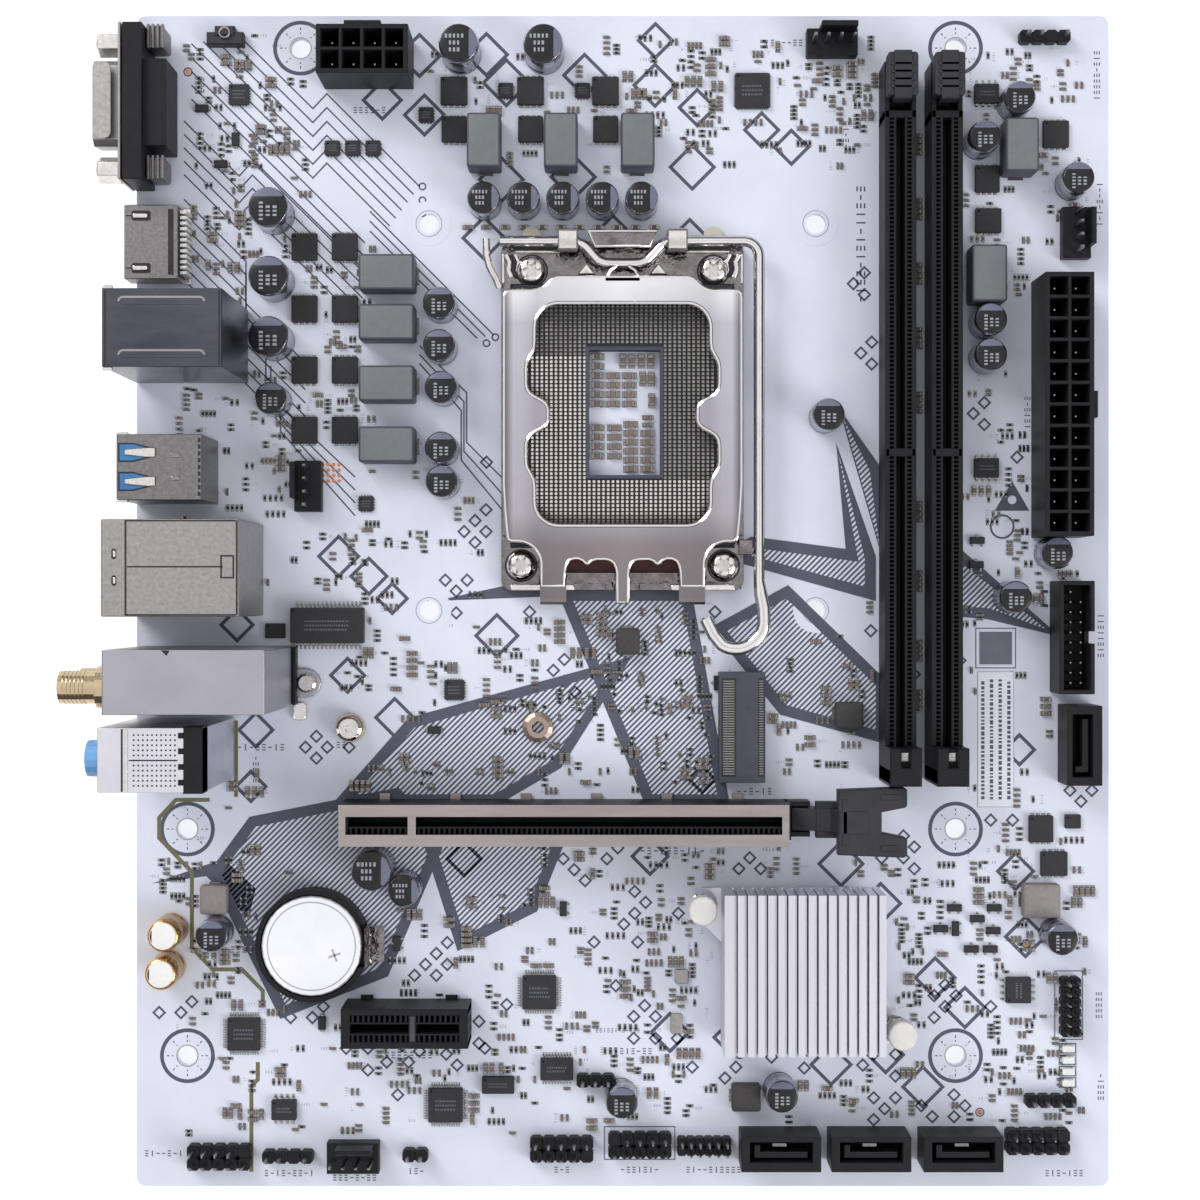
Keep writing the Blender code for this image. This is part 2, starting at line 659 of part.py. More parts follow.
def make_hdmi():
    shell = part("hdmi_shell", boxes((-1.1, HDMI_Y - 7.4, 0.4, 9.6, HDMI_Y + 7.4, 6.3)), tin_steel())
    mouth = [(HDMI_Y - 6.9, 1.9), (HDMI_Y - 5.6, 0.9), (HDMI_Y + 5.6, 0.9), (HDMI_Y + 6.9, 1.9),
             (HDMI_Y + 6.9, 5.8), (HDMI_Y - 6.9, 5.8)]
    cut(shell, prism([mouth], -2.0, 8.0, along="x"))
    add(shell, boxes((0.4, HDMI_Y - 5.2, 2.9, 8.5, HDMI_Y + 5.2, 4.1)))


def make_stack():
    y0, y1 = STACK_Y - STACK_HALF, STACK_Y + STACK_HALF
    shell = part("ps2_usb_shell", boxes((0.0, y0, GAP, 22.5, y1, STACK_TOP_Z)), tin_steel())
    cut(shell, boxes(usb_mouth(STACK_Y, 2.4), usb_mouth(STACK_Y, 9.6)))
    cut(shell, prism([circle(STACK_Y, ROUND_JACK_Z, 4.8, 20)], -1.0, 9.0, along="x"))
    add(shell, boxes(usb_tongue(STACK_Y, 5.4), usb_tongue(STACK_Y, 12.6)))
    add(shell, prism([circle(STACK_Y, ROUND_JACK_Z, 3.2, 12)], 5.0, 10.0, along="x"))


def make_usb3():
    y0, y1 = USB3_Y - USB3_HALF, USB3_Y + USB3_HALF
    wall = 0.4
    shell = part("usb3_shell", boxes((0.0, y0, GAP, 16.5, y1, USB3_TOP_Z)), tin_steel())
    cut(shell, boxes((-1.0, y0 + wall, GAP + wall, 16.5 - wall, y1 - wall, USB3_TOP_Z - wall)))
    insert = [(15.8, 1.0), (15.8, 16.3), (10.0, 16.3), (10.0, 14.9), (1.0, 14.9), (1.0, 12.9), (10.0, 12.9),
              (10.0, 10.3), (0.4, 10.3), (0.4, 8.1), (10.0, 8.1), (10.0, 6.6), (1.0, 6.6), (1.0, 4.6),
              (10.0, 4.6), (10.0, 1.0)]
    look = material("blue_plastic", (0.03, 0.16, 0.55), 0.4, 0.0)
    part("usb3_insert", prism([insert], y0 + 2 * wall, y1 - 2 * wall, along="y"), look)


def make_lan():
    y0, y1 = LAN_Y - LAN_HALF, LAN_Y + LAN_HALF
    shell = part("lan_usb_shell", boxes((-0.4, y0, GAP, 25.6, y1, LAN_TOP_Z)), tin_steel())
    cut(shell, boxes(usb_mouth(LAN_Y, 2.0), usb_mouth(LAN_Y, 9.0)))
    plug = [(LAN_Y - 5.9, 16.4), (LAN_Y + 5.9, 16.4), (LAN_Y + 5.9, 23.4), (LAN_Y + 3.0, 23.4),
            (LAN_Y + 3.0, 25.4), (LAN_Y - 3.0, 25.4), (LAN_Y - 3.0, 23.4), (LAN_Y - 5.9, 23.4)]
    cut(shell, prism([plug], -1.0, 13.0, along="x"))
    add(shell, boxes(usb_tongue(LAN_Y, 5.0), usb_tongue(LAN_Y, 12.0)))


def make_wifi():
    x0, x1 = WIFI_X
    y0, y1 = WIFI_Y
    wall = WIFI_WALL
    shield = part("wifi_shield", boxes((x0, y0, GAP, x1, y1, WIFI_TOP_Z)), tin_steel())
    cut(shield, boxes((x0 + wall, y0 + wall, 0.0, x1 - wall, y1 - wall, WIFI_TOP_Z - wall)))
    foot_x, foot_y = WIFI_FOOT
    foot = [(x1 - 0.2, foot_y - WIFI_FOOT_R), (foot_x, foot_y - WIFI_FOOT_R)]
    foot += arc(foot_x, foot_y, WIFI_FOOT_R, -90, 90, 6)[1:-1]
    foot += [(foot_x, foot_y + WIFI_FOOT_R), (x1 - 0.2, foot_y + WIFI_FOOT_R)]
    add(shield, prism([foot, circle(foot_x, foot_y, 1.3, 10)], GAP, 0.9))
    screw = [(0, 0.4), (1.0, 0.4), (1.0, 1.2), (2.0, 1.2), (2.0, 1.8), (1.5, 2.1), (0, 2.1)]
    part("wifi_screw", lathe(screw, 12, WIFI_FOOT), tin_steel(), smooth=True)
    card_y = y0 + 4.0
    look = material("card_green", (0.02, 0.10, 0.05), 0.5, 0.0)
    card = part("wifi_card", boxes((3.0, card_y, 1.2, 29.4, card_y + 0.8, 31.0)), look)
    add(card, boxes((7.0, card_y + 0.5, 10.0, 21.0, card_y + 2.2, 26.0)))
    for name, z in zip(("antenna_jack_lower", "antenna_jack_upper"), ANTENNA_Z):
        jack = [(0, 1.3), (4.0, 1.3), (4.0, -0.9), (3.1, -0.9), (3.1, ANTENNA_TIP_X),
                (2.3, ANTENNA_TIP_X), (2.3, -4.0), (0.5, -4.0), (0.5, -7.4), (0, -7.4)]
        part(name, lathe(jack, 16, (ANTENNA_Y, z), along="x"), gold_plate(), smooth=True)


def make_audio():
    y0, y1 = AUDIO_Y - AUDIO_HALF, AUDIO_Y + AUDIO_HALF
    front = AUDIO_X[0]
    body = prism([rect(y0, GAP, y1, AUDIO_TOP_Z)], *AUDIO_X, along="x")
    housing = part("audio_housing", body, tin_steel())
    sockets = bmesh.new()
    for z in AUDIO_Z:
        prism([circle(AUDIO_Y, z, 3.8, 14)], front - 1, 3.6, along="x", into=sockets)
    cut(housing, sockets)
    bores = bmesh.new()
    for z in AUDIO_Z:
        prism([circle(AUDIO_Y, z, 1.9, 10)], 3.0, 12.0, along="x", into=bores)
    cut(housing, bores)
    colours = (("pink", (0.75, 0.22, 0.30)), ("green", (0.16, 0.55, 0.20)), ("blue", (0.16, 0.42, 0.75)))
    for z, (colour, rgb) in zip(AUDIO_Z, colours):
        centre = (AUDIO_Y, z)
        barrel = prism([circle(*centre, 3.45, 16), circle(*centre, 1.85, 12)], -2.6, 3.3, along="x")
        part(f"audio_barrel_{colour}", barrel, material(f"{colour}_plastic", rgb, 0.4, 0.0), smooth=True)


# ---------------------------------------------------------------- power and drive connectors


def make_power(name, centre, columns, rows, lock):
    """A box of square wells, a row and column pitch apart, with a lock ramp on one side."""
    cx, cy = centre
    rim = 0.6
    half_x = columns * WELL_PITCH / 2 + rim
    half_y = rows * WELL_PITCH / 2 + rim
    obj = part(name, boxes((cx - half_x, cy - half_y, GAP, cx + half_x, cy + half_y, POWER_TOP_Z)),
               black_plastic())
    wells = []
    for i in range(columns):
        for j in range(rows):
            x = cx + (i - (columns - 1) / 2) * WELL_PITCH
            y = cy + (j - (rows - 1) / 2) * WELL_PITCH
            wells.append((x - WELL_HALF, y - WELL_HALF, WELL_FLOOR_Z, x + WELL_HALF, y + WELL_HALF,
                          POWER_TOP_Z + 1))
    cut(obj, boxes(*wells))
    add(obj, boxes(lock))


def make_power_connectors():
    x, y = EPS_CENTRE
    make_power("eps_connector", EPS_CENTRE, 4, 2, (x - 3.6, y + 4.5, 7.0, x + 3.6, y + 5.6, 12.6))
    x, y = ATX_CENTRE
    make_power("atx_connector", ATX_CENTRE, 2, 12, (x + 4.5, y - 2.6, 7.0, x + 5.6, y + 2.6, 12.6))


def make_usb3_header():
    x, y = USB3_HEADER_CENTRE
    obj = part("usb3_header", boxes((x - 3.5, y - 11.2, GAP, x + 3.5, y + 11.2, 9.0)), black_plastic())
    cut(obj, boxes((x - 2.6, y - 10.3, 2.0, x + 2.6, y + 10.3, 10.0)))
    cut(obj, boxes((x + 2.0, y - 1.2, 4.0, x + 4.0, y + 1.2, 10.0)))


def moved(box, centre, turned):
    """A box about its own middle, moved to a centre and, when turned, given a quarter turn."""
    cx, cy = centre
    x0, y0, z0, x1, y1, z1 = box
    if turned:
        return (cx - y1, cy + x0, z0, cx - y0, cy + x1, z1)
    return (cx + x0, cy + y0, z0, cx + x1, cy + y1, z1)


def make_sata(name, centre, turned):
    """A seven-way keyed drive connector. Its long side lies along X, or along Y when turned."""
    body = (-7.9, -3.5, GAP, 7.9, 3.5, 8.5)
    cavity = (-6.2, -1.6, 2.0, 6.2, 2.4, 10.0)
    tongue = ((-5.3, -0.9, 1.5, 5.3, 0.3, 7.6), (-5.3, -0.9, 1.5, -4.1, 1.7, 7.6))
    obj = part(name, boxes(moved(body, centre, turned)), black_plastic())
    cut(obj, boxes(moved(cavity, centre, turned)))
    for box in tongue:
        add(obj, boxes(moved(box, centre, turned)))


def make_sata_connectors():
    for count, x in enumerate(SATA_ROW_X, 1):
        make_sata(f"sata_connector_{count}", (x, SATA_ROW_Y), False)
    make_sata("sata_connector_4", SATA_SIDE, True)


def make_fan_header(name, centre, turned):
    """A low base with a polarising wall along one long side."""
    base = (-5.1, -2.7, GAP, 5.1, 2.7, 3.2)
    wall = (-2.6, 1.9, 1.0, 4.6, 2.9, 8.2)
    obj = part(name, boxes(moved(base, centre, turned)), grey_plastic())
    add(obj, boxes(moved(wall, centre, turned)))


def make_headers():
    make_fan_header("pump_fan_header", PUMP_FAN_CENTRE, False)
    make_fan_header("cpu_fan_header", CPU_FAN_CENTRE, True)
    part("front_panel_header", boxes(FRONT_PANEL_BOX), black_plastic())


# ---------------------------------------------------------------- battery


def make_battery():
    x, y = CELL_CENTRE
    ring = prism([circle(x, y, HOLDER_R, 28)], GAP, HOLDER_TOP_Z)
    holder = part("battery_holder", ring, black_plastic())
    cut(holder, prism([circle(x, y, CELL_R + GAP, 28)], 1.3, 6.0))
    cut(holder, boxes((x + 7.0, y - 4.3, 1.3, x + 13.0, y + 4.3, 6.0)))
    cell = [(0, CELL_SEAT_Z), (8.6, CELL_SEAT_Z), (9.2, 2.0), (CELL_R, 2.0), (CELL_R, 4.6),
            (CELL_R - 0.3, 4.9), (0, 4.9)]
    lift = (x, y, CELL_SEAT_Z)
    steel = material("cell_steel", (0.75, 0.74, 0.73), 0.25, 1.0)
    part("coin_cell", lathe(cell, 32, CELL_CENTRE), steel, lift, smooth=True)
    make_battery_clip(x, y)


def make_battery_clip(x, y):
    """A sprung contact: a foot outside the ring, a riser beside the cell and a finger lip bent outwards."""
    foot = x + 10.6
    side = [(foot, 1.6), (foot + 3.6, 1.6), (foot + 3.6, 2.1), (foot + 0.5, 2.1), (foot + 0.5, 5.0),
            (foot + 1.6, 6.0), (foot + 1.2, 6.4), (foot, 5.3)]
    pivot = (foot + 1.0, y, 1.85)
    part("battery_clip", prism([side], y - 3.6, y + 3.6, along="y"), tin_steel(), pivot)


# ---------------------------------------------------------------- chipset


def make_chipset():
    x, y = (HEATSINK[0] + HEATSINK[2]) / 2, (HEATSINK[1] + HEATSINK[3]) / 2
    look = material("package_green", (0.05, 0.12, 0.08), 0.5, 0.0)
    chip = part("chipset_package", boxes((x - 12.5, y - 12.5, GAP, x + 12.5, y + 12.5, 1.5)), look)
    add(chip, boxes((x - 5.0, y - 5.0, 1.0, x + 5.0, y + 5.0, HEATSINK_Z[0] - GAP)))


def fin_outline():
    """The front view of base and fins: a comb of equal teeth."""
    x0, x1 = HEATSINK[0], HEATSINK[2]
    low, floor, top = HEATSINK_Z
    pitch = (x1 - x0) / FINS
    points = [(x1, low)]
    for fin in reversed(range(FINS)):
        left = x0 + fin * pitch + pitch * 0.32
        right = x0 + (fin + 1) * pitch
        points += [(right, top), (left, top)]
        if fin:
            points += [(left, floor), (left - pitch * 0.32, floor)]
    points[-1] = (x0, top)
    return points + [(x0, low)]


def ear_outline(pin, toward):
    """A corner ear round a pin, widening into the heatsink's side."""
    x, y = pin
    low, high = sorted((y - toward * 3.4, y + toward * 8.0))
    start = 90 if toward < 0 else -90
    edge = HEATSINK[0] + 0.5 if x < HEATSINK[0] else HEATSINK[2] - 0.5
    side = 1 if edge > x else -1
    round_end = arc(x, y, 3.3, start, start + side * toward * 180, 8)
    return round_end + [(edge, high if toward > 0 else low), (edge, low if toward > 0 else high)]


def make_heatsink():
    body = prism([fin_outline()], HEATSINK[1], HEATSINK[3], along="y")
    look = material("bright_aluminium", (0.83, 0.83, 0.85), 0.35, 1.0)
    obj = part("chipset_heatsink", body, look)
    for pin, toward in zip(PUSH_PINS, (-1, 1)):
        add(obj, prism([ear_outline(pin, toward)], HEATSINK_Z[0], HEATSINK_Z[1] - 0.4))
    holes = bmesh.new()
    for pin in PUSH_PINS:
        prism([circle(*pin, 1.7, 12)], HEATSINK_Z[0] - 1, HEATSINK_Z[1] + 1, into=holes)
    cut(obj, holes)


def make_push_pins():
    ear_top = HEATSINK_Z[1] - 0.4
    head = 9.6
    profile = [(0, -3.1), (0.9, -2.9), (1.45, -2.4), (1.45, -2.1), (1.25, -2.1), (1.25, head), (2.9, head),
               (2.9, head + 3.2), (2.6, head + 3.5), (0, head + 3.5)]
    ivory = material("ivory_plastic", (0.78, 0.77, 0.74), 0.45, 0.0)
    for count, pin in enumerate(PUSH_PINS, 1):
        part(f"push_pin_{count}", lathe(profile, 14, pin), ivory, (*pin, head), smooth=True)
        low, high = ear_top + 0.6, head - 0.6
        turns, steps = 4, 9
        points = []
        for step in range(turns * steps + 1):
            angle = 2 * math.pi * step / steps
            height = low + (high - low) * step / (turns * steps)
            points.append((pin[0] + 2.1 * math.cos(angle), pin[1] + 2.1 * math.sin(angle), height))
        wire(f"push_pin_spring_{count}", points, 0.28, nickel_steel(), (*pin, low), 0)


# ---------------------------------------------------------------- assembly


def clear_scene():
    for obj in list(bpy.data.objects):
        bpy.data.objects.remove(obj, do_unlink=True)


def make_datum():
    datum = bpy.data.objects.new("datum", None)
    bpy.context.scene.collection.objects.link(datum)
    centre_x = (BOARD_X + ANTENNA_TIP_X) / 2
    datum.location = (-centre_x * MM, -BOARD_Y / 2 * MM, -PIN_TIP_Z * MM)


def main():
    clear_scene()
    make_datum()
    make_board()
    make_socket_body()
    make_film()
    make_frame()
    make_load_plate()
    make_lever()
    make_backplate()
    make_ilm_screws()
    for letter, x in zip("ab", DIMM_X):
        make_dimm_slot(f"dimm_slot_{letter}", x)
        make_dimm_latch(f"dimm_latch_{letter}", x)
    make_x16()
    make_x1()
    make_m2()
    make_vga()
    make_hdmi()
    make_stack()
    make_usb3()
    make_lan()
    make_wifi()
    make_audio()
    make_power_connectors()
    make_usb3_header()
    make_sata_connectors()
    make_headers()
    make_battery()
    make_chipset()
    make_heatsink()
    make_push_pins()


main()
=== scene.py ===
"""Looks for the micro-size motherboard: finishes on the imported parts, finer pieces in place of the plain
ones, the small components, the printed lines, a floor, lights and a camera.

Lengths here are board millimetres: X from the rear edge inwards, Y up the board, Z from the component face.
"""

import json
import math
import random

import bmesh
import bpy
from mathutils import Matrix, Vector

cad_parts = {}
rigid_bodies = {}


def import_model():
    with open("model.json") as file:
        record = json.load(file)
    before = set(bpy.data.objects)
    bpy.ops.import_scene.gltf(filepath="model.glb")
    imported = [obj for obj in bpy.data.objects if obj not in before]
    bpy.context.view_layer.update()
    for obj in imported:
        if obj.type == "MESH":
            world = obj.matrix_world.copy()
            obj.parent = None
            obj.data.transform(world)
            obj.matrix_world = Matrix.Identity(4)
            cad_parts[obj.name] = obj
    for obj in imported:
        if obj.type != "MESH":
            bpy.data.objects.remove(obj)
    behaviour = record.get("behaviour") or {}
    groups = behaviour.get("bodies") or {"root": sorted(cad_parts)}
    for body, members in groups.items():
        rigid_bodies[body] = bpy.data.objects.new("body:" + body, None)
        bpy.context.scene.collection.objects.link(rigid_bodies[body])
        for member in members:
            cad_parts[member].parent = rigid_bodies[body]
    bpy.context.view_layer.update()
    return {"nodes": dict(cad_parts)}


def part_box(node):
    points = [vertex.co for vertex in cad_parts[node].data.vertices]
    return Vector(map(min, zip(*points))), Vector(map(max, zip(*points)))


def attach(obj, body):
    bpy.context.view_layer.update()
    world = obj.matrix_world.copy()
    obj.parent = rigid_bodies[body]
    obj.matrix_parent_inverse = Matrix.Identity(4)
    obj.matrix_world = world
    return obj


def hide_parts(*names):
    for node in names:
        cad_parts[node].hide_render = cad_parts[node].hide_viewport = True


for startup in list(bpy.data.objects):
    bpy.data.objects.remove(startup, do_unlink=True)
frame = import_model()

MM = 0.001
BOARD_LOW, BOARD_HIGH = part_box("circuit_board")
BOARD_T = 1.6
FACE_Z = BOARD_LOW.z + BOARD_T * MM
BOARD_W = (BOARD_HIGH.x - BOARD_LOW.x) / MM
EDGE_ROOM = 5.0  # chips keep this far from the board's long edges
PRINT = 0.03  # how far printing stands up from the board


def place(x, y, z):
    return (BOARD_LOW.x + x * MM, BOARD_LOW.y + y * MM, FACE_Z + z * MM)


def span(node):
    """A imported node's box in board millimetres: x0, y0, z0, x1, y1, z1."""
    low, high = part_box(node)
    corner = (BOARD_LOW.x, BOARD_LOW.y, FACE_Z)
    return [(low[i] - corner[i]) / MM for i in range(3)] + [(high[i] - corner[i]) / MM for i in range(3)]


def middle(node):
    x0, y0, _, x1, y1, _ = span(node)
    return (x0 + x1) / 2, (y0 + y1) / 2


# ---------------------------------------------------------------- shapes


def stack(rings, closed=True):
    """Faces between rings of equal length, and a cap on each end ring."""
    count = len(rings[0])
    points = [point for ring in rings for point in ring]
    faces = []
    for row in range(len(rings) - 1):
        low, high = row * count, (row + 1) * count
        for i in range(count):
            j = (i + 1) % count
            faces.append((low + i, low + j, high + j, high + i))
    if closed:
        faces.append(tuple(reversed(range(count))))
        faces.append(tuple(range(len(points) - count, len(points))))
    return points, faces


def box_outline(width, depth):
    half_x, half_y = width / 2, depth / 2
    return [(-half_x, -half_y), (half_x, -half_y), (half_x, half_y), (-half_x, half_y)]


def arc(cx, cy, radius, start, end, steps):
    points = []
    for step in range(steps + 1):
        angle = math.radians(start + (end - start) * step / steps)
        points.append((cx + radius * math.cos(angle), cy + radius * math.sin(angle)))
    return points


def circle(radius, sides, cx=0.0, cy=0.0):
    return arc(cx, cy, radius, 0, 360, sides)[:-1]


def rounded_outline(width, depth, radius, steps=4):
    points = []
    for sx, sy, start in ((1, -1, -90), (1, 1, 0), (-1, 1, 90), (-1, -1, 180)):
        points += arc(sx * (width / 2 - radius), sy * (depth / 2 - radius), radius, start, start + 90, steps)
    return points


def inset(outline, depth):
    """The outline moved inwards, corner by corner."""
    moved = []
    count = len(outline)
    for i, (x, y) in enumerate(outline):
        ax, ay = outline[i - 1]
        bx, by = outline[(i + 1) % count]
        first = (x - ax, y - ay)
        second = (bx - x, by - y)
        la, lb = math.hypot(*first) or 1.0, math.hypot(*second) or 1.0
        n1 = (-first[1] / la, first[0] / la)
        n2 = (-second[1] / lb, second[0] / lb)
        share = depth / max(0.35, 1 + n1[0] * n2[0] + n1[1] * n2[1])
        moved.append((x + (n1[0] + n2[0]) * share, y + (n1[1] + n2[1]) * share))
    return moved


def level(outline, z):
    return [(x, y, z) for x, y in outline]


def raised(outline, low, high, chamfer=0.1):
    """A solid on an outline, its top edge cut back."""
    return stack([level(outline, low), level(outline, high - chamfer), level(inset(outline, chamfer), high)])


def block(width, depth, low, high, chamfer=0.1):
    return raised(box_outline(width, depth), low, high, chamfer)


def soft_block(width, depth, low, high, radius=0.3, chamfer=0.15):
    outline = rounded_outline(width, depth, radius, 2)
    return stack([level(inset(outline, chamfer * 0.6), low), level(outline, low + chamfer * 0.6),
                  level(outline, high - chamfer), level(inset(outline, chamfer * 0.35), high - chamfer * 0.3),
                  level(inset(outline, chamfer), high)])


def turned(profile, sides=24):
    """A turned solid. The profile is (radius, height), with no radius of 0."""
    return stack([level(circle(radius, sides), height) for radius, height in profile])


def tube(outer, inner, low, high, sides=24, chamfer=0.15):
    profile = [(inner, low), (outer, low), (outer, high - chamfer), (outer - chamfer, high),
               (inner + chamfer, high), (inner, high - chamfer)]
    rings = [level(circle(radius, sides), height) for radius, height in profile]
    return stack(rings + rings[:1], closed=False)


def extruded(profile, width):
    """A side view (y, z) carried across a width along X."""
    return stack([[(-width / 2, y, z) for y, z in profile], [(width / 2, y, z) for y, z in profile]])


def panel(outer, holes, low, high):
    """A flat plate with holes through it."""
    bm = bmesh.new()
    edges = []
    for loop in [outer] + list(holes):
        verts = [bm.verts.new((x, y, low)) for x, y in loop]
        edges += [bm.edges.new(pair) for pair in zip(verts, verts[1:] + verts[:1])]
    filled = bmesh.ops.triangle_fill(bm, edges=edges, use_beauty=True)
    faces = [item for item in filled["geom"] if isinstance(item, bmesh.types.BMFace)]
    lifted = bmesh.ops.extrude_face_region(bm, geom=faces)
    verts = [item for item in lifted["geom"] if isinstance(item, bmesh.types.BMVert)]
    bmesh.ops.translate(bm, verts=verts, vec=(0, 0, high - low))
    bm.verts.index_update()
    made = [tuple(v.co) for v in bm.verts], [tuple(v.index for v in face.verts) for face in bm.faces]
    bm.free()
    return made


def swept(path, radius, sides=14, flatten=None):
    """A round wire along points in space, turned as little as possible from one to the next."""
    rings = []
    count = len(path)
    normal = None
    for i, (x, y, z) in enumerate(path):
        a, b = path[max(0, i - 1)], path[min(count - 1, i + 1)]
        t = [b[k] - a[k] for k in range(3)]
        length = math.sqrt(sum(v * v for v in t)) or 1.0
        t = [v / length for v in t]
        if normal is None:
            normal = [0.0, 0.0, 1.0] if abs(t[2]) < 0.9 else [1.0, 0.0, 0.0]
        along = sum(normal[k] * t[k] for k in range(3))
        normal = [normal[k] - along * t[k] for k in range(3)]
        size = math.sqrt(sum(v * v for v in normal)) or 1.0
        normal = [v / size for v in normal]
        side = [t[1] * normal[2] - t[2] * normal[1], t[2] * normal[0] - t[0] * normal[2],
                t[0] * normal[1] - t[1] * normal[0]]
        wide, tall = flatten[i] if flatten else (1.0, 1.0)
        ring = []
        for step in range(sides):
            angle = 2 * math.pi * step / sides
            u, v = radius * wide * math.cos(angle), radius * tall * math.sin(angle)
            ring.append((x + side[0] * u + normal[0] * v, y + side[1] * u + normal[1] * v,
                         z + side[2] * u + normal[2] * v))
        rings.append(ring)
    return stack(rings)


def stroke(points, width, low=0.0, high=PRINT, closed=False):
    """A flat line of one width along points, mitred at its corners."""
    rings = []
    count = len(points)
    for i, (x, y) in enumerate(points):
        before = points[i - 1] if closed or i else None
        after = points[(i + 1) % count] if closed or i < count - 1 else None
        normals = []
        if before:
            normals.append((before[1] - y, x - before[0]))
        if after:
            normals.append((y - after[1], after[0] - x))
        normals = [(a / (math.hypot(a, b) or 1), b / (math.hypot(a, b) or 1)) for a, b in normals]
        nx, ny = sum(n[0] for n in normals), sum(n[1] for n in normals)
        if len(normals) == 2:
            share = 1 / max(0.3, 1 + normals[0][0] * normals[1][0] + normals[0][1] * normals[1][1])
            nx, ny = nx * share, ny * share
        nx, ny = nx * width / 2, ny * width / 2
        rings.append([(x + nx, y + ny, low), (x - nx, y - ny, low), (x - nx, y - ny, high),
                      (x + nx, y + ny, high)])
    if closed:
        return stack(rings + rings[:1], closed=False)
    return stack(rings)


BAR_FACES = ((3, 2, 1, 0), (4, 5, 6, 7), (0, 1, 5, 4), (1, 2, 6, 5), (2, 3, 7, 6), (3, 0, 4, 7))


def hatch(outline, spacing, width, angle):
    """Parallel lines that fill an outline."""
    turn = math.radians(-angle)
    c, s = math.cos(turn), math.sin(turn)
    flat = [(x * c - y * s, x * s + y * c) for x, y in outline]
    bottom, top = min(y for _, y in flat), max(y for _, y in flat)
    points, faces = [], []
    row = math.floor(bottom / spacing) + 1
    while row * spacing < top:
        y = row * spacing
        crossings = []
        for (ax, ay), (bx, by) in zip(flat, flat[1:] + flat[:1]):
            if (ay > y) != (by > y):
                crossings.append(ax + (y - ay) * (bx - ax) / (by - ay))
        crossings.sort()
        for x0, x1 in zip(crossings[::2], crossings[1::2]):
            if x1 - x0 < 0.3:
                continue
            corners = [(x0, y - width / 2), (x1, y - width / 2), (x1, y + width / 2), (x0, y + width / 2)]
            back = [(u * c + v * s, -u * s + v * c) for u, v in corners]
            start = len(points)
            points += level(back, 0.0) + level(back, PRINT)
            faces += [tuple(start + k for k in face) for face in BAR_FACES]
        row += 1
    return points, faces


class Shape:
    """Geometry gathered in board millimetres for one piece."""

    def __init__(self):
        self.points = []
        self.faces = []

    def add(self, made, x=0.0, y=0.0, z=0.0, turn=0.0, tilt=0.0):
        points, faces = made
        start = len(self.points)
        c, s = math.cos(math.radians(turn)), math.sin(math.radians(turn))
        tc, ts = math.cos(math.radians(tilt)), math.sin(math.radians(tilt))
        for px, py, pz in points:
            py, pz = py * tc - pz * ts, py * ts + pz * tc
            self.points.append((x + px * c - py * s, y + px * s + py * c, z + pz))
        self.faces += [tuple(start + i for i in face) for face in faces]
        return self


def mesh_of(name, shape, finish):
    mesh = bpy.data.meshes.new(name)
    mesh.from_pydata([place(*point) for point in shape.points], [], shape.faces)
    mesh.materials.append(finish)
    return mesh


def linked(name, data):
    """An object of the scene that holds the given mesh, light or camera."""
    obj = bpy.data.objects.new(name, data)
    bpy.context.scene.collection.objects.link(obj)
    return obj


def piece(name, shape, finish, body="board", replaces=(), smooth=None, bevel=None):
    """One object of the model from gathered geometry."""
    mesh = mesh_of(name, shape, finish)
    bm = bmesh.new()
    bm.from_mesh(mesh)
    bmesh.ops.recalc_face_normals(bm, faces=bm.faces)
    bm.to_mesh(mesh)
    bm.free()
    if smooth:
        mesh.shade_smooth()
        mesh.set_sharp_from_angle(angle=math.radians(smooth))
    obj = linked(name, mesh)
    if bevel:
        round_edges(obj, bevel)
    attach(obj, body)
    if replaces:
        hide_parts(*replaces)


def round_edges(obj, width):
    """Rounds every edge sharper than 40 degrees."""
    weld = obj.modifiers.new("weld", "WELD")
    weld.merge_threshold = 1e-6
    edge = obj.modifiers.new("edge", "BEVEL")
    edge.width = width * MM
    edge.segments = 2
    edge.limit_method = "ANGLE"
    edge.angle_limit = math.radians(40)
    edge.harden_normals = True


# ---------------------------------------------------------------- materials


def linear(colour):
    """A display colour, 0 to 255, as the shader's linear values."""
    values = []
    for value in colour:
        value /= 255
        values.append(value / 12.92 if value <= 0.04045 else ((value + 0.055) / 1.055) ** 2.4)
    return values


def node(tree, kind, **values):
    made = tree.nodes.new(kind)
    for name, value in values.items():
        if name in made.inputs.keys():
            made.inputs[name].default_value = value
        else:
            setattr(made, name, value)
    return made


def ramp_steps(ramp, steps):
    """Sets a colour ramp from (position, linear colour) pairs."""
    elements = ramp.color_ramp.elements
    while len(elements) < len(steps):
        elements.new(0.5)
    for element, (position, colour) in zip(elements, steps):
        element.position = position
        element.color = (*colour, 1)


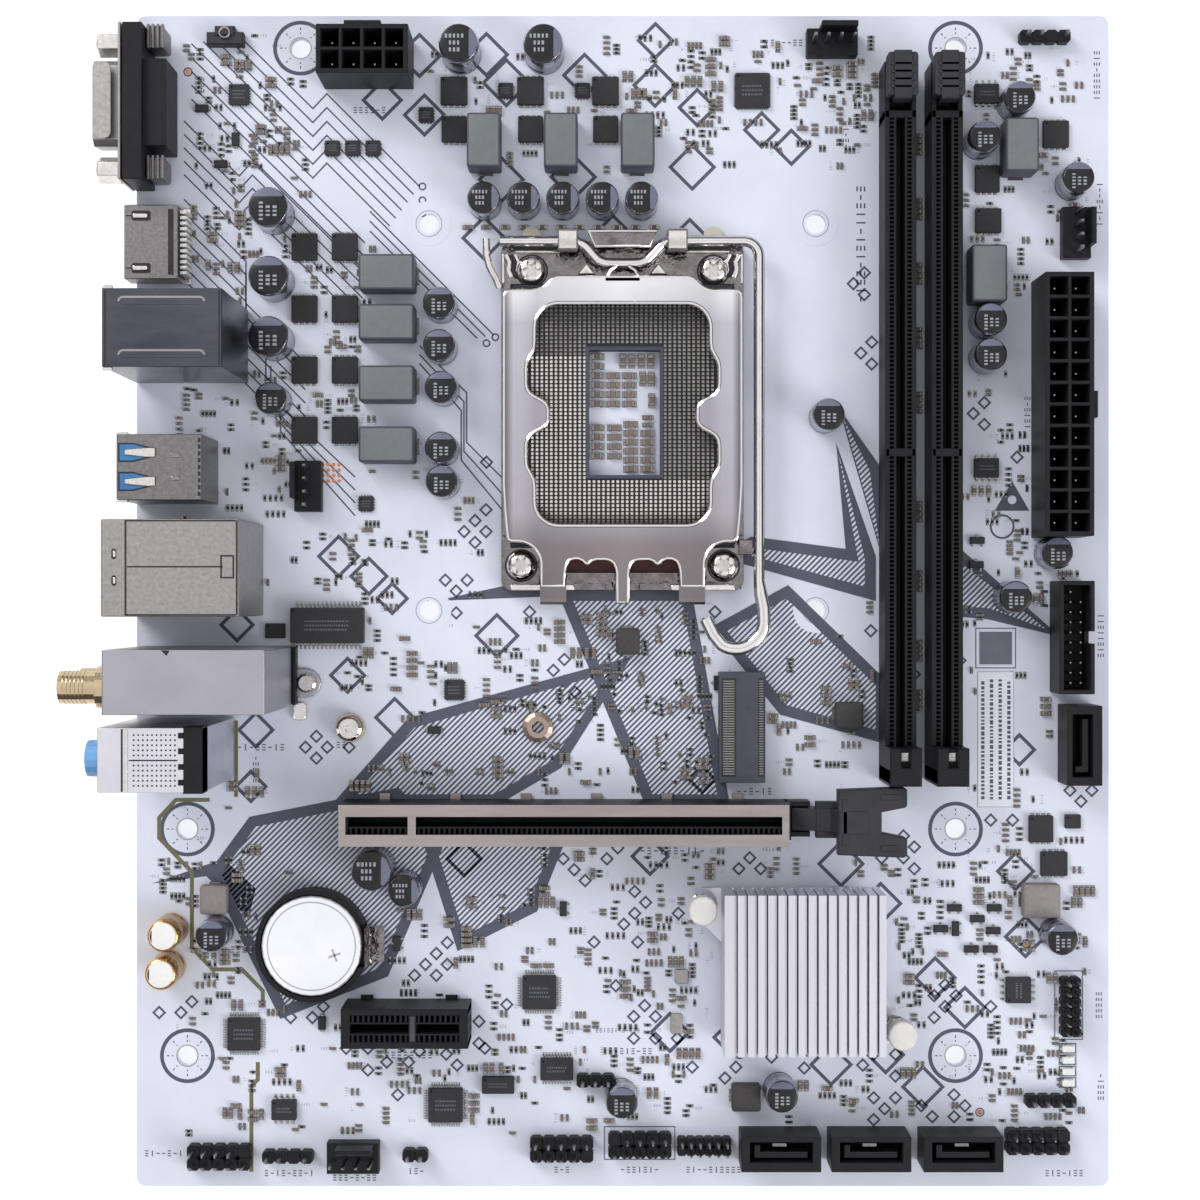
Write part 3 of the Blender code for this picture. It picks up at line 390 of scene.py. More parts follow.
def look(name, colour, rough=0.5, metal=0.0, spread=0.08, size=3.0, grain=0.15, bump=0.15, stretch=(1, 1, 1),
         rough_spread=0.08, gloss=0.5, tint=None):
    """A finish with mottled colour and roughness and a fine surface grain. Sizes are millimetres."""
    made = bpy.data.materials.new(name)
    made.use_nodes = True
    tree = made.node_tree
    shader = tree.nodes["Principled BSDF"]
    shader.inputs["Metallic"].default_value = metal
    shader.inputs["Specular IOR Level"].default_value = gloss
    coordinates = node(tree, "ShaderNodeTexCoord")
    mapping = node(tree, "ShaderNodeMapping")
    mapping.inputs["Scale"].default_value = [value / MM for value in stretch]
    tree.links.new(coordinates.outputs["Object"], mapping.inputs["Vector"])
    broad = node(tree, "ShaderNodeTexNoise", Scale=1 / size, Detail=4.0, Roughness=0.6)
    fine = node(tree, "ShaderNodeTexNoise", Scale=1 / grain, Detail=3.0, Roughness=0.55)
    for noise in (broad, fine):
        tree.links.new(mapping.outputs["Vector"], noise.inputs["Vector"])
    base = linear(colour)
    other = linear(tint) if tint else base
    ramp = node(tree, "ShaderNodeValToRGB")
    ramp_steps(ramp, [(0.3, [min(1.0, value * (1 - spread)) for value in other]),
                      (0.7, [min(1.0, value * (1 + spread)) for value in base])])
    tree.links.new(broad.outputs["Fac"], ramp.inputs["Fac"])
    tree.links.new(ramp.outputs["Color"], shader.inputs["Base Color"])
    shine = node(tree, "ShaderNodeMapRange")
    shine.inputs["To Min"].default_value = max(0.02, rough - rough_spread)
    shine.inputs["To Max"].default_value = min(1.0, rough + rough_spread)
    tree.links.new(fine.outputs["Fac"], shine.inputs["Value"])
    tree.links.new(shine.outputs["Result"], shader.inputs["Roughness"])
    relief = node(tree, "ShaderNodeBump", Strength=bump, Distance=grain * 0.2 * MM)
    tree.links.new(fine.outputs["Fac"], relief.inputs["Height"])
    tree.links.new(relief.outputs["Normal"], shader.inputs["Normal"])
    return made


BOARD = look("solder_mask", (208, 212, 225), 0.38, spread=0.02, size=14.0, grain=0.5, bump=0.03, gloss=0.25,
             tint=(203, 207, 221))
INK = look("printed_ink", (80, 83, 97), 0.6, spread=0.06, size=2.0, grain=0.2, gloss=0.25)
INK_LIGHT = look("faint_ink", (140, 143, 158), 0.6, spread=0.08, size=1.0, grain=0.2, gloss=0.25)
OLIVE = look("bare_trace", (104, 101, 72), 0.4, metal=0.3, spread=0.1)
COPPER = look("copper", (206, 132, 92), 0.3, metal=0.9, spread=0.1)
BLACK = look("black_plastic", (30, 30, 33), 0.45, spread=0.15, grain=0.12, bump=0.3, gloss=0.16)
DARK = look("grey_plastic", (50, 50, 56), 0.5, spread=0.12, grain=0.12, bump=0.3, gloss=0.22)
CHARCOAL = look("moulded_package", (46, 46, 50), 0.55, spread=0.12, size=1.0, grain=0.08, bump=0.35,
                gloss=0.25)
TIN = look("tin_plated_steel", (156, 153, 153), 0.36, metal=1.0, spread=0.08, size=5.0, grain=0.22, bump=0.35)
CAN_STEEL = look("can_steel", (172, 170, 178), 0.4, metal=1.0, spread=0.05, size=9.0, grain=0.5, bump=0.1)
AUDIO_STEEL = look("audio_steel", (218, 216, 224), 0.4, metal=1.0, spread=0.05, size=6.0, grain=0.5, bump=0.1)
DULL_TIN = look("dull_steel", (84, 84, 94), 0.3, metal=1.0, spread=0.25, size=5.0, grain=0.5, bump=0.15,
                stretch=(0.25, 1.0, 1.0))
WARM_TIN = look("warm_steel", (160, 156, 154), 0.42, metal=1.0, spread=0.17, size=0.8, grain=0.5, bump=0.3)
GREY_TIN = look("grey_steel", (127, 124, 125), 0.4, metal=1.0, spread=0.2, size=0.7, grain=0.5, bump=0.3)
BRIGHT = look("bright_nickel", (222, 218, 215), 0.12, metal=1.0, spread=0.1, size=1.5, grain=0.5, bump=0.35)
SHADED = look("shaded_nickel", (132, 125, 126), 0.12, metal=1.0, spread=0.35, size=3.0, grain=2.2, bump=1.0)
WIRE = look("polished_wire", (228, 225, 225), 0.1, metal=1.0, spread=0.06, size=4.0, grain=0.8, bump=0.12)
SOLDER = look("solder", (148, 145, 143), 0.2, metal=1.0, spread=0.12, size=0.6, grain=0.2, bump=0.3)
CONTACT = look("contact_gold", (213, 209, 203), 0.3, metal=0.9, spread=0.12, size=1.2, grain=0.2)
SHADED_CONTACT = look("shaded_contact", (188, 185, 180), 0.34, metal=0.9, spread=0.14, size=1.2, grain=0.2)
BRASS = look("brass", (196, 176, 146), 0.24, metal=1.0, spread=0.1, size=1.5, grain=0.2)
AUDIO_CAN = look("audio_can_gold", (212, 172, 118), 0.24, metal=1.0, spread=0.1, size=1.5, grain=0.2)
ALUMINIUM = look("satin_aluminium", (218, 217, 226), 0.34, metal=1.0, spread=0.05, size=2.0, grain=0.12,
                 bump=0.15, stretch=(1.0, 0.06, 1.0))
CAN = look("can_aluminium", (178, 178, 186), 0.25, metal=1.0, spread=0.06, size=1.0, grain=0.15)
SLEEVE = look("can_print", (30, 30, 34), 0.32, spread=0.2, size=1.0, grain=0.2, bump=0.1, gloss=0.3)
LAVENDER = look("can_mark", (104, 106, 126), 0.35, spread=0.08, size=1.0, grain=0.2, gloss=0.3)
MARKING = look("can_marking", (92, 93, 103), 0.5, spread=0.1, gloss=0.2)
CELL = look("cell_steel", (244, 244, 250), 0.34, metal=0.6, spread=0.03, size=5.0, grain=0.25, bump=0.08)
IVORY = look("ivory_plastic", (206, 204, 202), 0.4, spread=0.04, grain=0.3, bump=0.1, gloss=0.3)
FERRITE = look("choke_grey", (108, 113, 116), 0.45, spread=0.06, size=1.5, grain=0.12, bump=0.25, gloss=0.25)
# The big chokes' sides: the grey of their tops darkened and tinted lavender, as painted shade and reflection.
FERRITE_SHADE = look("choke_side_shade", (72, 72, 82), 0.45, spread=0.08, size=1.5, grain=0.12, bump=0.25,
                    gloss=0.25)
DARK_FERRITE = look("choke_dark", (62, 60, 61), 0.5, spread=0.12, size=0.8, grain=0.1, bump=0.35, gloss=0.25)
SAND_FERRITE = look("choke_sand", (132, 126, 126), 0.5, spread=0.1, size=0.8, grain=0.1, bump=0.35,
                    gloss=0.25)
BROWN_CHIP = look("ceramic_brown", (112, 99, 90), 0.45, spread=0.15, size=0.8, grain=0.1, gloss=0.3)
BLACK_CHIP = look("resistor_black", (30, 29, 31), 0.4, spread=0.2, size=0.8, grain=0.1, gloss=0.25)
CERAMIC = look("ceramic_white", (226, 224, 222), 0.5, spread=0.05, size=0.5, grain=0.1, gloss=0.3)
FILM = look("brown_film", (92, 52, 46), 0.4, spread=0.1, size=2.0, grain=0.3, gloss=0.3)
BLUE = look("blue_plastic", (52, 112, 166), 0.4, spread=0.1, size=1.5, grain=0.2)
PALE_BLUE = look("pale_blue_plastic", (106, 164, 214), 0.36, spread=0.06, size=1.5, grain=0.2)
PINK = look("pink_plastic", (214, 120, 140), 0.4, spread=0.06, size=1.5, grain=0.2)
GREEN = look("green_plastic", (112, 190, 110), 0.4, spread=0.06, size=1.5, grain=0.2)
CARD = look("card_green", (28, 74, 48), 0.45, spread=0.1, size=1.5, grain=0.2)
PACKAGE = look("package_green", (40, 66, 50), 0.45, spread=0.1, size=1.5, grain=0.2)
STEEL_DARK = look("dark_steel", (72, 72, 76), 0.42, metal=1.0, spread=0.1, size=4.0, grain=0.25)
LED = look("led_lens", (214, 216, 214), 0.3, spread=0.12, size=0.5, grain=0.1)
SOCKET_GREY = look("m2_grey", (68, 68, 77), 0.5, spread=0.12, grain=0.12, bump=0.3, gloss=0.22)
NUT_RING = look("nut_plating", (168, 150, 138), 0.4, metal=1.0, spread=0.08, size=0.8, grain=0.2)
CAP_LETTER = look("can_letters", (150, 151, 160), 0.5, spread=0.1, gloss=0.2)
SLOT_STEEL = look("slot_steel", (168, 159, 158), 0.3, metal=1.0, spread=0.1, size=2.0, grain=0.2, bump=0.3,
                  stretch=(0.12, 1.0, 1.0))
VOID = look("deep_black", (9, 9, 11), 0.7, spread=0.2, gloss=0.1)
PIN_STEEL = look("pin_steel", (150, 148, 148), 0.3, metal=1.0, spread=0.1, size=0.8, grain=0.2)
CREAM = look("cream_washer", (198, 192, 178), 0.5, spread=0.05, size=1.0, grain=0.2, gloss=0.3)
SEAM = look("seam_shadow", (58, 56, 58), 0.6, metal=0.5, spread=0.15, gloss=0.2)
GREY_MARK = look("grey_mark", (98, 100, 114), 0.6)
PAPER = look("sticker_paper", (214, 216, 226), 0.55, spread=0.03, gloss=0.3)
SOCKET_PRINT = look("socket_frame", (66, 68, 84), 0.5, spread=0.08, gloss=0.2)
CELL_GROOVE = look("cell_groove", (176, 176, 184), 0.4, metal=0.6)


# ---------------------------------------------------------------- gathered small parts

gathered = {}
taken = []


def into(name, finish, smooth=None):
    """The shape that gathers every small part of one name; it becomes one piece at the end."""
    if name not in gathered:
        gathered[name] = (Shape(), finish, smooth)
    return gathered[name][0]


def keep(x, y, width, depth, margin=0.2, turn=0):
    """Marks an area of the board as taken."""
    if turn % 180:
        width, depth = depth, width
    taken.append((x - width / 2 - margin, y - depth / 2 - margin,
                  x + width / 2 + margin, y + depth / 2 + margin))


def is_free(x, y, width, depth):
    """Whether a rectangle of the board, given by its middle and size, is still free."""
    x0, y0, x1, y1 = x - width / 2, y - depth / 2, x + width / 2, y + depth / 2
    return not any(x0 < b[2] and x1 > b[0] and y0 < b[3] and y1 > b[1] for b in taken)


def swing(x, y, u, v, turn):
    """The point (u, v) turned by degrees about the origin and carried to (x, y)."""
    c, s = math.cos(math.radians(turn)), math.sin(math.radians(turn))
    return x + u * c - v * s, y + u * s + v * c


def spaced(count, pitch):
    """Distances from the middle of a row to each of its members."""
    return [(i - (count - 1) / 2) * pitch for i in range(count)]


# Length, width and height of each kind of chip, and whether it is a brown one.
CHIPS = {"c": (1.0, 0.5, 0.5, True), "r": (1.0, 0.5, 0.32, False), "C": (1.6, 0.85, 0.8, True),
         "B": (2.1, 1.25, 0.9, True)}
HEADER_PIN_TOP = 6.6


def chip(x, y, turn=0, kind="c"):
    """A two-ended part: a coloured body between two soldered ends."""
    length, width, height, brown = CHIPS[kind]
    body = into("chip_bodies_brown", BROWN_CHIP) if brown else into("chip_bodies_black", BLACK_CHIP)
    end = length * 0.26
    body.add(block(length - 2 * end + 0.06, width * 0.96, 0.05, height * 0.97, 0.05), x, y, 0, turn)
    ends = into("chip_ends", SOLDER)
    cap = block(end, width, 0.04, height, 0.07)
    fillet = block(end * 1.5, width * 1.1, 0.0, 0.12, 0.05)
    for side in (-1, 1):
        ends.add(cap, *swing(x, y, side * (length - end) / 2, 0, turn), 0, turn)
        ends.add(fillet, *swing(x, y, side * (length / 2 + 0.05), 0, turn), 0, turn)


def group(x, y, count, step, turn=0, kind="c"):
    """Chips side by side, a step apart, centred on a point, each where there is room."""
    length, width = CHIPS[kind][:2]
    size = (length, width) if turn % 180 == 0 else (width, length)
    for offset in spaced(count, step):
        cx, cy = swing(x, y, 0, offset, turn)
        if is_free(cx, cy, *size):
            chip(cx, cy, turn, kind)
            keep(cx, cy, *size, margin=0.12)


def scatter(x0, y0, x1, y1, groups, seed, kinds="ccrrC"):
    """Short aligned groups of chips over a rectangle, wherever there is room."""
    draw = random.Random(seed)
    x0, x1 = max(x0, EDGE_ROOM), min(x1, BOARD_W - EDGE_ROOM)
    for _ in range(groups):
        kind = draw.choice(kinds)
        turn = draw.choice((0, 90))
        count = draw.choice((1, 2, 2, 3, 4))
        length, width = CHIPS[kind][:2]
        x = round(draw.uniform(x0, x1) * 4) / 4
        y = round(draw.uniform(y0, y1) * 4) / 4
        group(x, y, count, width + draw.choice((0.3, 0.45, 0.6)), turn, kind)
        if draw.random() < 0.4:
            aside = draw.choice((-1, 1)) * (length + 0.8)
            label(x + aside, y, draw.choice((2, 3, 4)), 0.55, turn, seed + count)


def label(x, y, marks, height, turn, seed, name="labels", finish=INK_LIGHT):
    """A row of short marks standing in for printing, none of them a letter."""
    draw = random.Random(seed * 977 + marks)
    shape = into(name, finish)
    line = height * 0.17
    upright = block(line, height, 0, PRINT, 0.005)
    dash = block(height * 0.55, line, 0, PRINT, 0.005)
    for u in spaced(marks, height * 0.95):
        kind = draw.choice("=|-=")
        for row in (-1, 0, 1) if kind == "=" else (0,):
            spot = swing(x, y, u, row * (height - line) / 2, turn)
            shape.add(upright if kind == "|" else dash, *spot, 0, turn)


def greek(x, y, width, rows, height, turn, seed, z, name="package_marks", finish=MARKING):
    """Rows of thin dashes on top of a part, in place of its marking."""
    draw = random.Random(seed * 31 + rows)
    shape = into(name, finish)
    for row in range(rows):
        v = ((rows - 1) / 2 - row) * height * 1.7
        u = -width / 2
        while u < width / 2 - 0.2:
            dash = min(draw.uniform(0.3, 0.8) * height * 1.2, width / 2 - u)
            spot = swing(x, y, u + dash / 2, v, turn)
            shape.add(block(dash, height * 0.75, z, z + 0.02, 0.004), *spot, 0, turn)
            u += dash + height * 0.35


def gull(shape, x, y, turn, reach, height, width):
    """One bent pin: out of the package's side, down and along the board."""
    profile = [(-0.1, height), (reach * 0.35, height), (reach * 0.6, 0.12), (reach, 0.12), (reach, 0.0),
               (reach * 0.5, 0.0), (reach * 0.25, height - 0.14), (-0.1, height - 0.14)]
    shape.add(extruded(profile, width), x, y, 0, turn)


def gull_row(x, y, count, pitch, turn, reach, height, width):
    """Bent pins side by side along one side of a package."""
    pins = into("package_pins", SOLDER)
    for offset in spaced(count, pitch):
        gull(pins, *swing(x, y, offset, 0, turn), turn, reach, height, width)


def package(x, y, width, depth, height=1.0, turn=0, rows=3, seed=1):
    """A moulded body with a pin-one dimple and greeked marking."""
    body = soft_block(width, depth, 0.12, height, 0.2, 0.12)
    into("package_bodies", CHARCOAL).add(body, x, y, 0, turn)
    dimple = turned([(0.22, height - 0.05), (0.22, height + 0.012)], 12)
    into("package_dots", VOID).add(dimple, *swing(x, y, 0.6 - width / 2, depth / 2 - 0.6, turn))
    if rows:
        greek(x, y, width * 0.6, rows, min(0.5, depth * 0.1), turn, seed, height)
    keep(x, y, width, depth, 0.5, turn)


def power_stage(x, y, width=5.2, depth=5.4):
    """A flat power package with flush pads along two sides."""
    package(x, y, width, depth, 1.0, rows=0)
    pads = into("package_pads", SOLDER)
    for side in (-1, 1):
        for offset in spaced(4, width / 4.4):
            pads.add(block(width * 0.13, 0.7, 0.0, 0.2, 0.05), x + offset, y + side * (depth / 2 + 0.05))


def quad(x, y, size, pins, pitch, flat=False, seed=1):
    """A square package with pins on four sides, bent out or flush underneath."""
    package(x, y, size, size, 0.85 if flat else 1.0, seed=seed)
    for turn in (0, 90, 180, 270):
        edge = swing(x, y, 0, size / 2, turn)
        if flat:
            pads = into("package_pads", SOLDER)
            for offset in spaced(pins, pitch):
                pads.add(block(pitch * 0.5, 0.5, 0.0, 0.16, 0.04), *swing(*edge, offset, 0, turn), 0, turn)
        else:
            gull_row(*edge, pins, pitch, turn, 1.0, 0.6, pitch * 0.45)
    keep(x, y, size + 2.2, size + 2.2, 0.1)


def small_outline(x, y, width, depth, pins, pitch, turn, seed):
    """A package with bent pins along two sides."""
    reach = 1.0
    package(x, y, width, depth, 1.3, turn, rows=2, seed=seed)
    for side in (0, 180):
        edge = swing(x, y, 0, depth / 2, turn + side)
        gull_row(*edge, pins, pitch, turn + side, reach, 0.75, min(0.42, pitch * 0.5))
    keep(x, y, width, depth + 2 * reach, 0.2, turn)


def transistor(x, y, turn):
    """A three-pin package, two pins on one side and one on the other."""
    into("package_bodies", CHARCOAL).add(block(2.9, 1.4, 0.1, 1.0, 0.15), x, y, 0, turn)
    pins = into("package_pins", SOLDER)
    for u, side in ((-0.95, 180), (0.95, 180), (0.0, 0)):
        v = -0.7 if side else 0.7
        gull(pins, *swing(x, y, u, v, turn), turn + side, 0.6, 0.6, 0.42)
    keep(x, y, 3.0, 2.7, 0.2, turn)


def diode(x, y, turn):
    """A small moulded body with a soldered foot at each end."""
    length, width = 2.6, 1.5
    into("package_bodies", CHARCOAL).add(block(length, width, 0.15, 1.0, 0.15), x, y, 0, turn)
    end = block(0.6, width * 0.55, 0.0, 0.4, 0.08)
    for side in (-1, 1):
        spot = swing(x, y, side * (length / 2 + 0.15), 0, turn)
        into("chip_ends", SOLDER).add(end, *spot, 0, turn)
    keep(x, y, length + 1, width, 0.2, turn)


def can_capacitor(x, y, radius, height, turn, seed):
    """A round can with a printed top: a dark field with marks and a paler segment towards the turn."""
    can = [(0.97, 0.35), (1.0, 0.6), (1.0, 1.5), (0.94, 1.75), (0.94, 2.0), (1.0, 2.3)]
    profile = [(radius * share, z) for share, z in can]
    profile += [(radius, height - 0.75), (radius - 0.12, height - 0.4), (radius - 0.38, height - 0.12),
                (radius - 0.7, height)]
    into("capacitor_cans", CAN, 50).add(turned(profile, 36), x, y)
    base = [(radius * 0.98, 0.0), (radius, 0.12), (radius, 0.4), (radius * 0.95, 0.5)]
    into("capacitor_bases", BLACK).add(turned(base, 36), x, y)
    rim = radius - 0.3
    cut = 52
    z = height - 0.13
    dome = 0.16
    field = arc(0, 0, 1, cut, 360 - cut, 30)
    mark = arc(0, 0, 1, -cut, cut, 14)
    for name, finish, outline in (("capacitor_prints", SLEEVE, field), ("capacitor_marks", LAVENDER, mark)):
        rings = [level([(reach * u, reach * v) for u, v in outline], at)
                 for reach, at in ((rim, z - 0.05), (rim, z), (rim * 0.88, z + dome))]
        into(name, finish, 25).add(stack(rings), x, y, 0, turn)
    can_letters(x, y, radius, z + dome, turn, seed)
    keep(x, y, 2 * radius, 2 * radius, 0.2)


def can_letters(x, y, radius, z, turn, seed):
    """Three rows of short marks on a can's top."""
    draw = random.Random(seed)
    shape = into("capacitor_letters", CAP_LETTER)
    for row, marks in enumerate((5, 3, 3)):
        v = (1 - row) * radius * 0.34
        for offset in spaced(marks, radius * 0.2):
            wide = radius * 0.12 * draw.uniform(0.7, 1.1)
            spot = swing(x, y, offset - radius * 0.22, v, turn)
            shape.add(block(wide, radius * 0.2, z, z + 0.02, 0.004), *spot, 0, turn)


def choke(x, y, width, depth, height, top=FERRITE, side=FERRITE_SHADE, name="choke"):
    """A pressed power choke: a block, a flat paler top and soldered feet at its ends. Unless told otherwise
    its sides are darker than its top, as painted shade.
    """
    sides = into(f"{name}_sides", side, 30)
    sides.add(soft_block(width, depth, 0.3, height - 0.1, 0.5, 0.4), x, y)
    lid = into(f"{name}_tops", top, 30)
    lid.add(soft_block(width - 0.7, depth - 0.7, height - 0.5, height, 0.35, 0.2), x, y)
    feet = into("choke_feet", SOLDER)
    for end in (-0.5, 0.5):
        if width >= depth:
            feet.add(block(0.9, depth * 0.45, 0.0, 0.35, 0.08), x + end * width, y)
        else:
            feet.add(block(width * 0.45, 0.9, 0.0, 0.35, 0.08), x, y + end * depth)
    keep(x, y, width, depth, 0.4)


def pin(shape, x, y, low, high, size=0.64):
    """A square pin with a tapered tip."""
    tip = size * 0.45
    rings = [level(box_outline(size, size), low), level(box_outline(size, size), high - 0.6),
             level(box_outline(tip, tip), high)]
    shape.add(stack(rings), x, y)


def header(x, y, columns, rows, pitch=2.54, missing=(), base=2.5, finish=BLACK):
    """Square pins through a low moulded strip, one notched cell for each pin."""
    strip = into("header_bases", finish)
    pins = into("header_pins", PIN_STEEL)
    cell = [(-0.5, -0.3), (-0.3, -0.5), (0.3, -0.5), (0.5, -0.3),
            (0.5, 0.3), (0.3, 0.5), (-0.3, 0.5), (-0.5, 0.3)]
    outline = [(u * pitch, v * pitch) for u, v in cell]
    for i, u in enumerate(spaced(columns, pitch)):
        for j, v in enumerate(spaced(rows, pitch)):
            strip.add(raised(outline, 0.1, base, 0.15), x + u, y + v)
            if (i, j) not in missing:
                pin(pins, x + u, y + v, base - 0.5, HEADER_PIN_TOP, 0.64 if pitch > 2 else 0.5)
    keep(x, y, columns * pitch, rows * pitch, 0.3)


def outline_print(x, y, width, depth, line=0.2):
    into("thin_lines", INK).add(stroke(box_outline(width, depth), line, closed=True), x, y)


def diamond(x, y, half, line=0.3):
    into("diamonds", INK).add(stroke([(0, -half), (half, 0), (0, half), (-half, 0)], line, closed=True), x, y)


def ring_print(x, y, radius, line, name="rings", finish=INK, z=0.0):
    into(name, finish).add(stroke(circle(radius, 40), line, closed=True), x, y, z)


def disc(shape, x, y, radius, sides=16):
    shape.add(turned([(radius, 0), (radius, 0.04)], sides), x, y)


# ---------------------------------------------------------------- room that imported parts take

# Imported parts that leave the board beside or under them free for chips.
NOT_IN_THE_WAY = ("circuit_board", "socket_backplate", "load_plate", "lever", "dimm_latch_a", "dimm_latch_b")
for name in frame["nodes"]:
    if name not in NOT_IN_THE_WAY:
        x0, y0, _, x1, y1, _ = span(name)
        taken.append((x0 - 0.3, y0 - 0.3, x1 + 0.3, y1 + 0.3))
SCREWS = [(33.0, 229.5), (165.1, 229.5), (10.2, 72.0), (165.1, 72.0), (10.2, 26.3), (165.1, 26.3)]
for x, y in SCREWS:
    keep(x, y, 11.2, 11.2)
SOCKET = middle("socket_body")
COOLER_REACH = 39
COOLER = [(SOCKET[0] + i * COOLER_REACH, SOCKET[1] + j * COOLER_REACH) for i in (-1, 1) for j in (-1, 1)]
for x, y in COOLER:
    keep(x, y, 9, 9)
_, lever_y0, _, lever_x1, lever_y1, _ = span("lever")
taken.append((lever_x1 - 4, lever_y0, lever_x1 + 0.5, lever_y1))
taken.append((SOCKET[0] - 25, SOCKET[1] - 38, SOCKET[0] + 26, SOCKET[1] + 36))

DATE_MARK = (173.2, 108.5)
STICKER = (173.2, 90.1)
STICKER_W, STICKER_L = 7.2, 27.2
keep(*DATE_MARK, 8.4, 8.4)
keep(*STICKER, STICKER_W, STICKER_L)


def from_socket(points):
    return [(SOCKET[0] + x, SOCKET[1] + y) for x, y in points]


# ---------------------------------------------------------------- capacitors

for i, (x, y) in enumerate(((65.5, 228.1), (82.2, 228.1), (48.2, 64.7))):
    can_capacitor(x, y, 4.0, 9.0, 0, i)
for i, (x, y) in enumerate(((27.9, 195.8), (27.9, 182.2), (27.9, 170.3))):
    can_capacitor(x, y, 4.0, 9.0, 90, i + 3)
for i in range(5):
    can_capacitor(70.3 + 7.85 * i, 197.9, 3.3, 7.5, 0, i + 6)
SOLID_CANS = (
    (28.1, 158.2), (61.5, 177.1), (61.5, 168.7), (61.9, 160.4), (61.9, 148.4), (62.0, 141.7),
    (176.6, 217.9), (169.7, 210.1), (188.3, 201.9), (170.9, 173.9), (170.9, 166.9), (138.7, 155.0),
    (184.1, 127.6), (175.8, 118.8), (16.4, 51.6), (97.7, 18.6), (129.5, 19.8), (185.1, 51.0),
)
for i, (x, y) in enumerate(SOLID_CANS):
    can_capacitor(x, y, 3.25, 7.5, 90, i + 20)
can_capacitor(54.5, 60.6, 3.2, 7.5, 0, 60)
AUDIO_CAN_SIDE = [(3.1, 0.4), (3.25, 0.7), (3.25, 2.0), (3.0, 2.3), (3.0, 2.6), (3.25, 2.9), (3.25, 9.0),
                  (3.0, 9.6), (2.6, 9.8)]
for x, y in ((7.3, 52.0), (6.8, 44.5)):
    into("audio_cans", AUDIO_CAN, 50).add(turned(AUDIO_CAN_SIDE, 36), x, y)
    into("audio_can_tops", CERAMIC, 40).add(turned([(2.7, 9.6), (2.6, 9.9), (2.2, 10.0)], 32), x, y)
    mark = [level(arc(0, 0, radius, 150, 210, 10), z) for radius, z in ((2.5, 9.88), (2.4, 10.03))]
    into("audio_can_marks", SLEEVE).add(stack(mark), x, y)
    keep(x, y, 6.6, 6.6)

# ---------------------------------------------------------------- chokes and power stages

for x in (70.3, 85.6, 100.9):
    choke(x, 209.5, 6.7, 10.8, 7.0)
for y in (183.3, 173.4, 161.2, 149.1):
    choke(51.0, y, 11.0, 7.1, 7.0)
choke(177.2, 208.6, 6.6, 10.7, 7.0)
choke(170.7, 183.1, 7.0, 11.3, 7.0)
for x in (64.0, 79.4, 94.5):
    power_stage(x, 220.7, 5.4, 5.6)
    power_stage(x, 213.0, 5.0, 5.2)
for y in (189.3, 176.8, 164.5, 152.4):
    power_stage(33.9, y)
    power_stage(42.0, y)
SMALL_CHOKES = (
    (15.9, 58.1, 5.4, 5.8, 3.0, SAND_FERRITE, "sand_choke"),
    (143.4, 95.1, 5.6, 5.2, 3.2, DARK_FERRITE, "dark_choke"),
    (99.0, 109.9, 4.8, 5.3, 3.0, DARK_FERRITE, "dark_choke"),
    (122.7, 18.4, 5.8, 5.4, 3.2, DARK_FERRITE, "dark_choke"),
    (181.9, 57.9, 7.4, 6.8, 3.4, SAND_FERRITE, "sand_choke"),
)
for x, y, width, depth, height, ferrite, name in SMALL_CHOKES:
    choke(x, y, width, depth, height, ferrite, ferrite, name)

# ---------------------------------------------------------------- packages

small_outline(171.2, 220.1, 4.9, 3.9, 4, 1.27, 0, 3)
power_stage(185.2, 212.0)
power_stage(171.4, 203.0, 4.9, 5.4)
power_stage(171.6, 194.6, 5.2, 4.9)
power_stage(182.2, 72.1, 4.9, 5.4)
package(188.6, 73.6, 3.2, 2.8, 0.9, rows=0)
power_stage(184.8, 65.1, 5.4, 4.9)
for x, y in ((58.4, 215.9), (74.4, 220.8), (89.9, 220.8), (39.5, 209.2), (43.6, 209.2), (47.7, 209.2)):
    quad(x, y, 3.0, 4, 0.6, flat=True, seed=int(x))
quad(124.1, 220.8, 7.0, 14, 0.46, flat=True, seed=2)
quad(20.7, 220.0, 4.1, 6, 0.55, flat=True, seed=5)
quad(46.3, 137.6, 3.0, 4, 0.6, flat=True, seed=6)
quad(64.1, 100.1, 4.0, 6, 0.55, flat=True, seed=7)
package(38.7, 113.1, 14.6, 7.1, 3.4, rows=3, seed=8)
for turn, y in ((0, 116.65), (180, 109.55)):
    gull_row(38.7, y, 16, 0.85, turn, 1.3, 1.4, 0.35)
package(28.0, 112.0, 4.0, 3.0, 1.0, rows=0)
quad(21.7, 30.8, 6.6, 12, 0.5, seed=9)
quad(81.2, 39.2, 6.8, 12, 0.5, seed=10)
quad(62.3, 16.5, 6.9, 12, 0.5, seed=11)
small_outline(84.7, 23.8, 6.6, 4.4, 10, 0.6, 0, 12)
package(72.9, 20.6, 6.5, 3.4, 1.4, rows=2, seed=13)
small_outline(29.8, 15.6, 5.0, 4.0, 4, 1.2, 0, 14)
small_outline(177.6, 39.7, 5.2, 5.0, 4, 1.27, 90, 15)
small_outline(171.2, 144.8, 4.9, 3.9, 4, 1.27, 0, 16)
for x, y, width, depth in ((109.8, 42.4, 2.8, 2.8), (108.8, 32.9, 2.4, 4.0)):
    into("crystals", WARM_TIN).add(soft_block(width, depth, 0.1, 0.9, 0.4, 0.15), x, y)
    keep(x, y, width, depth)
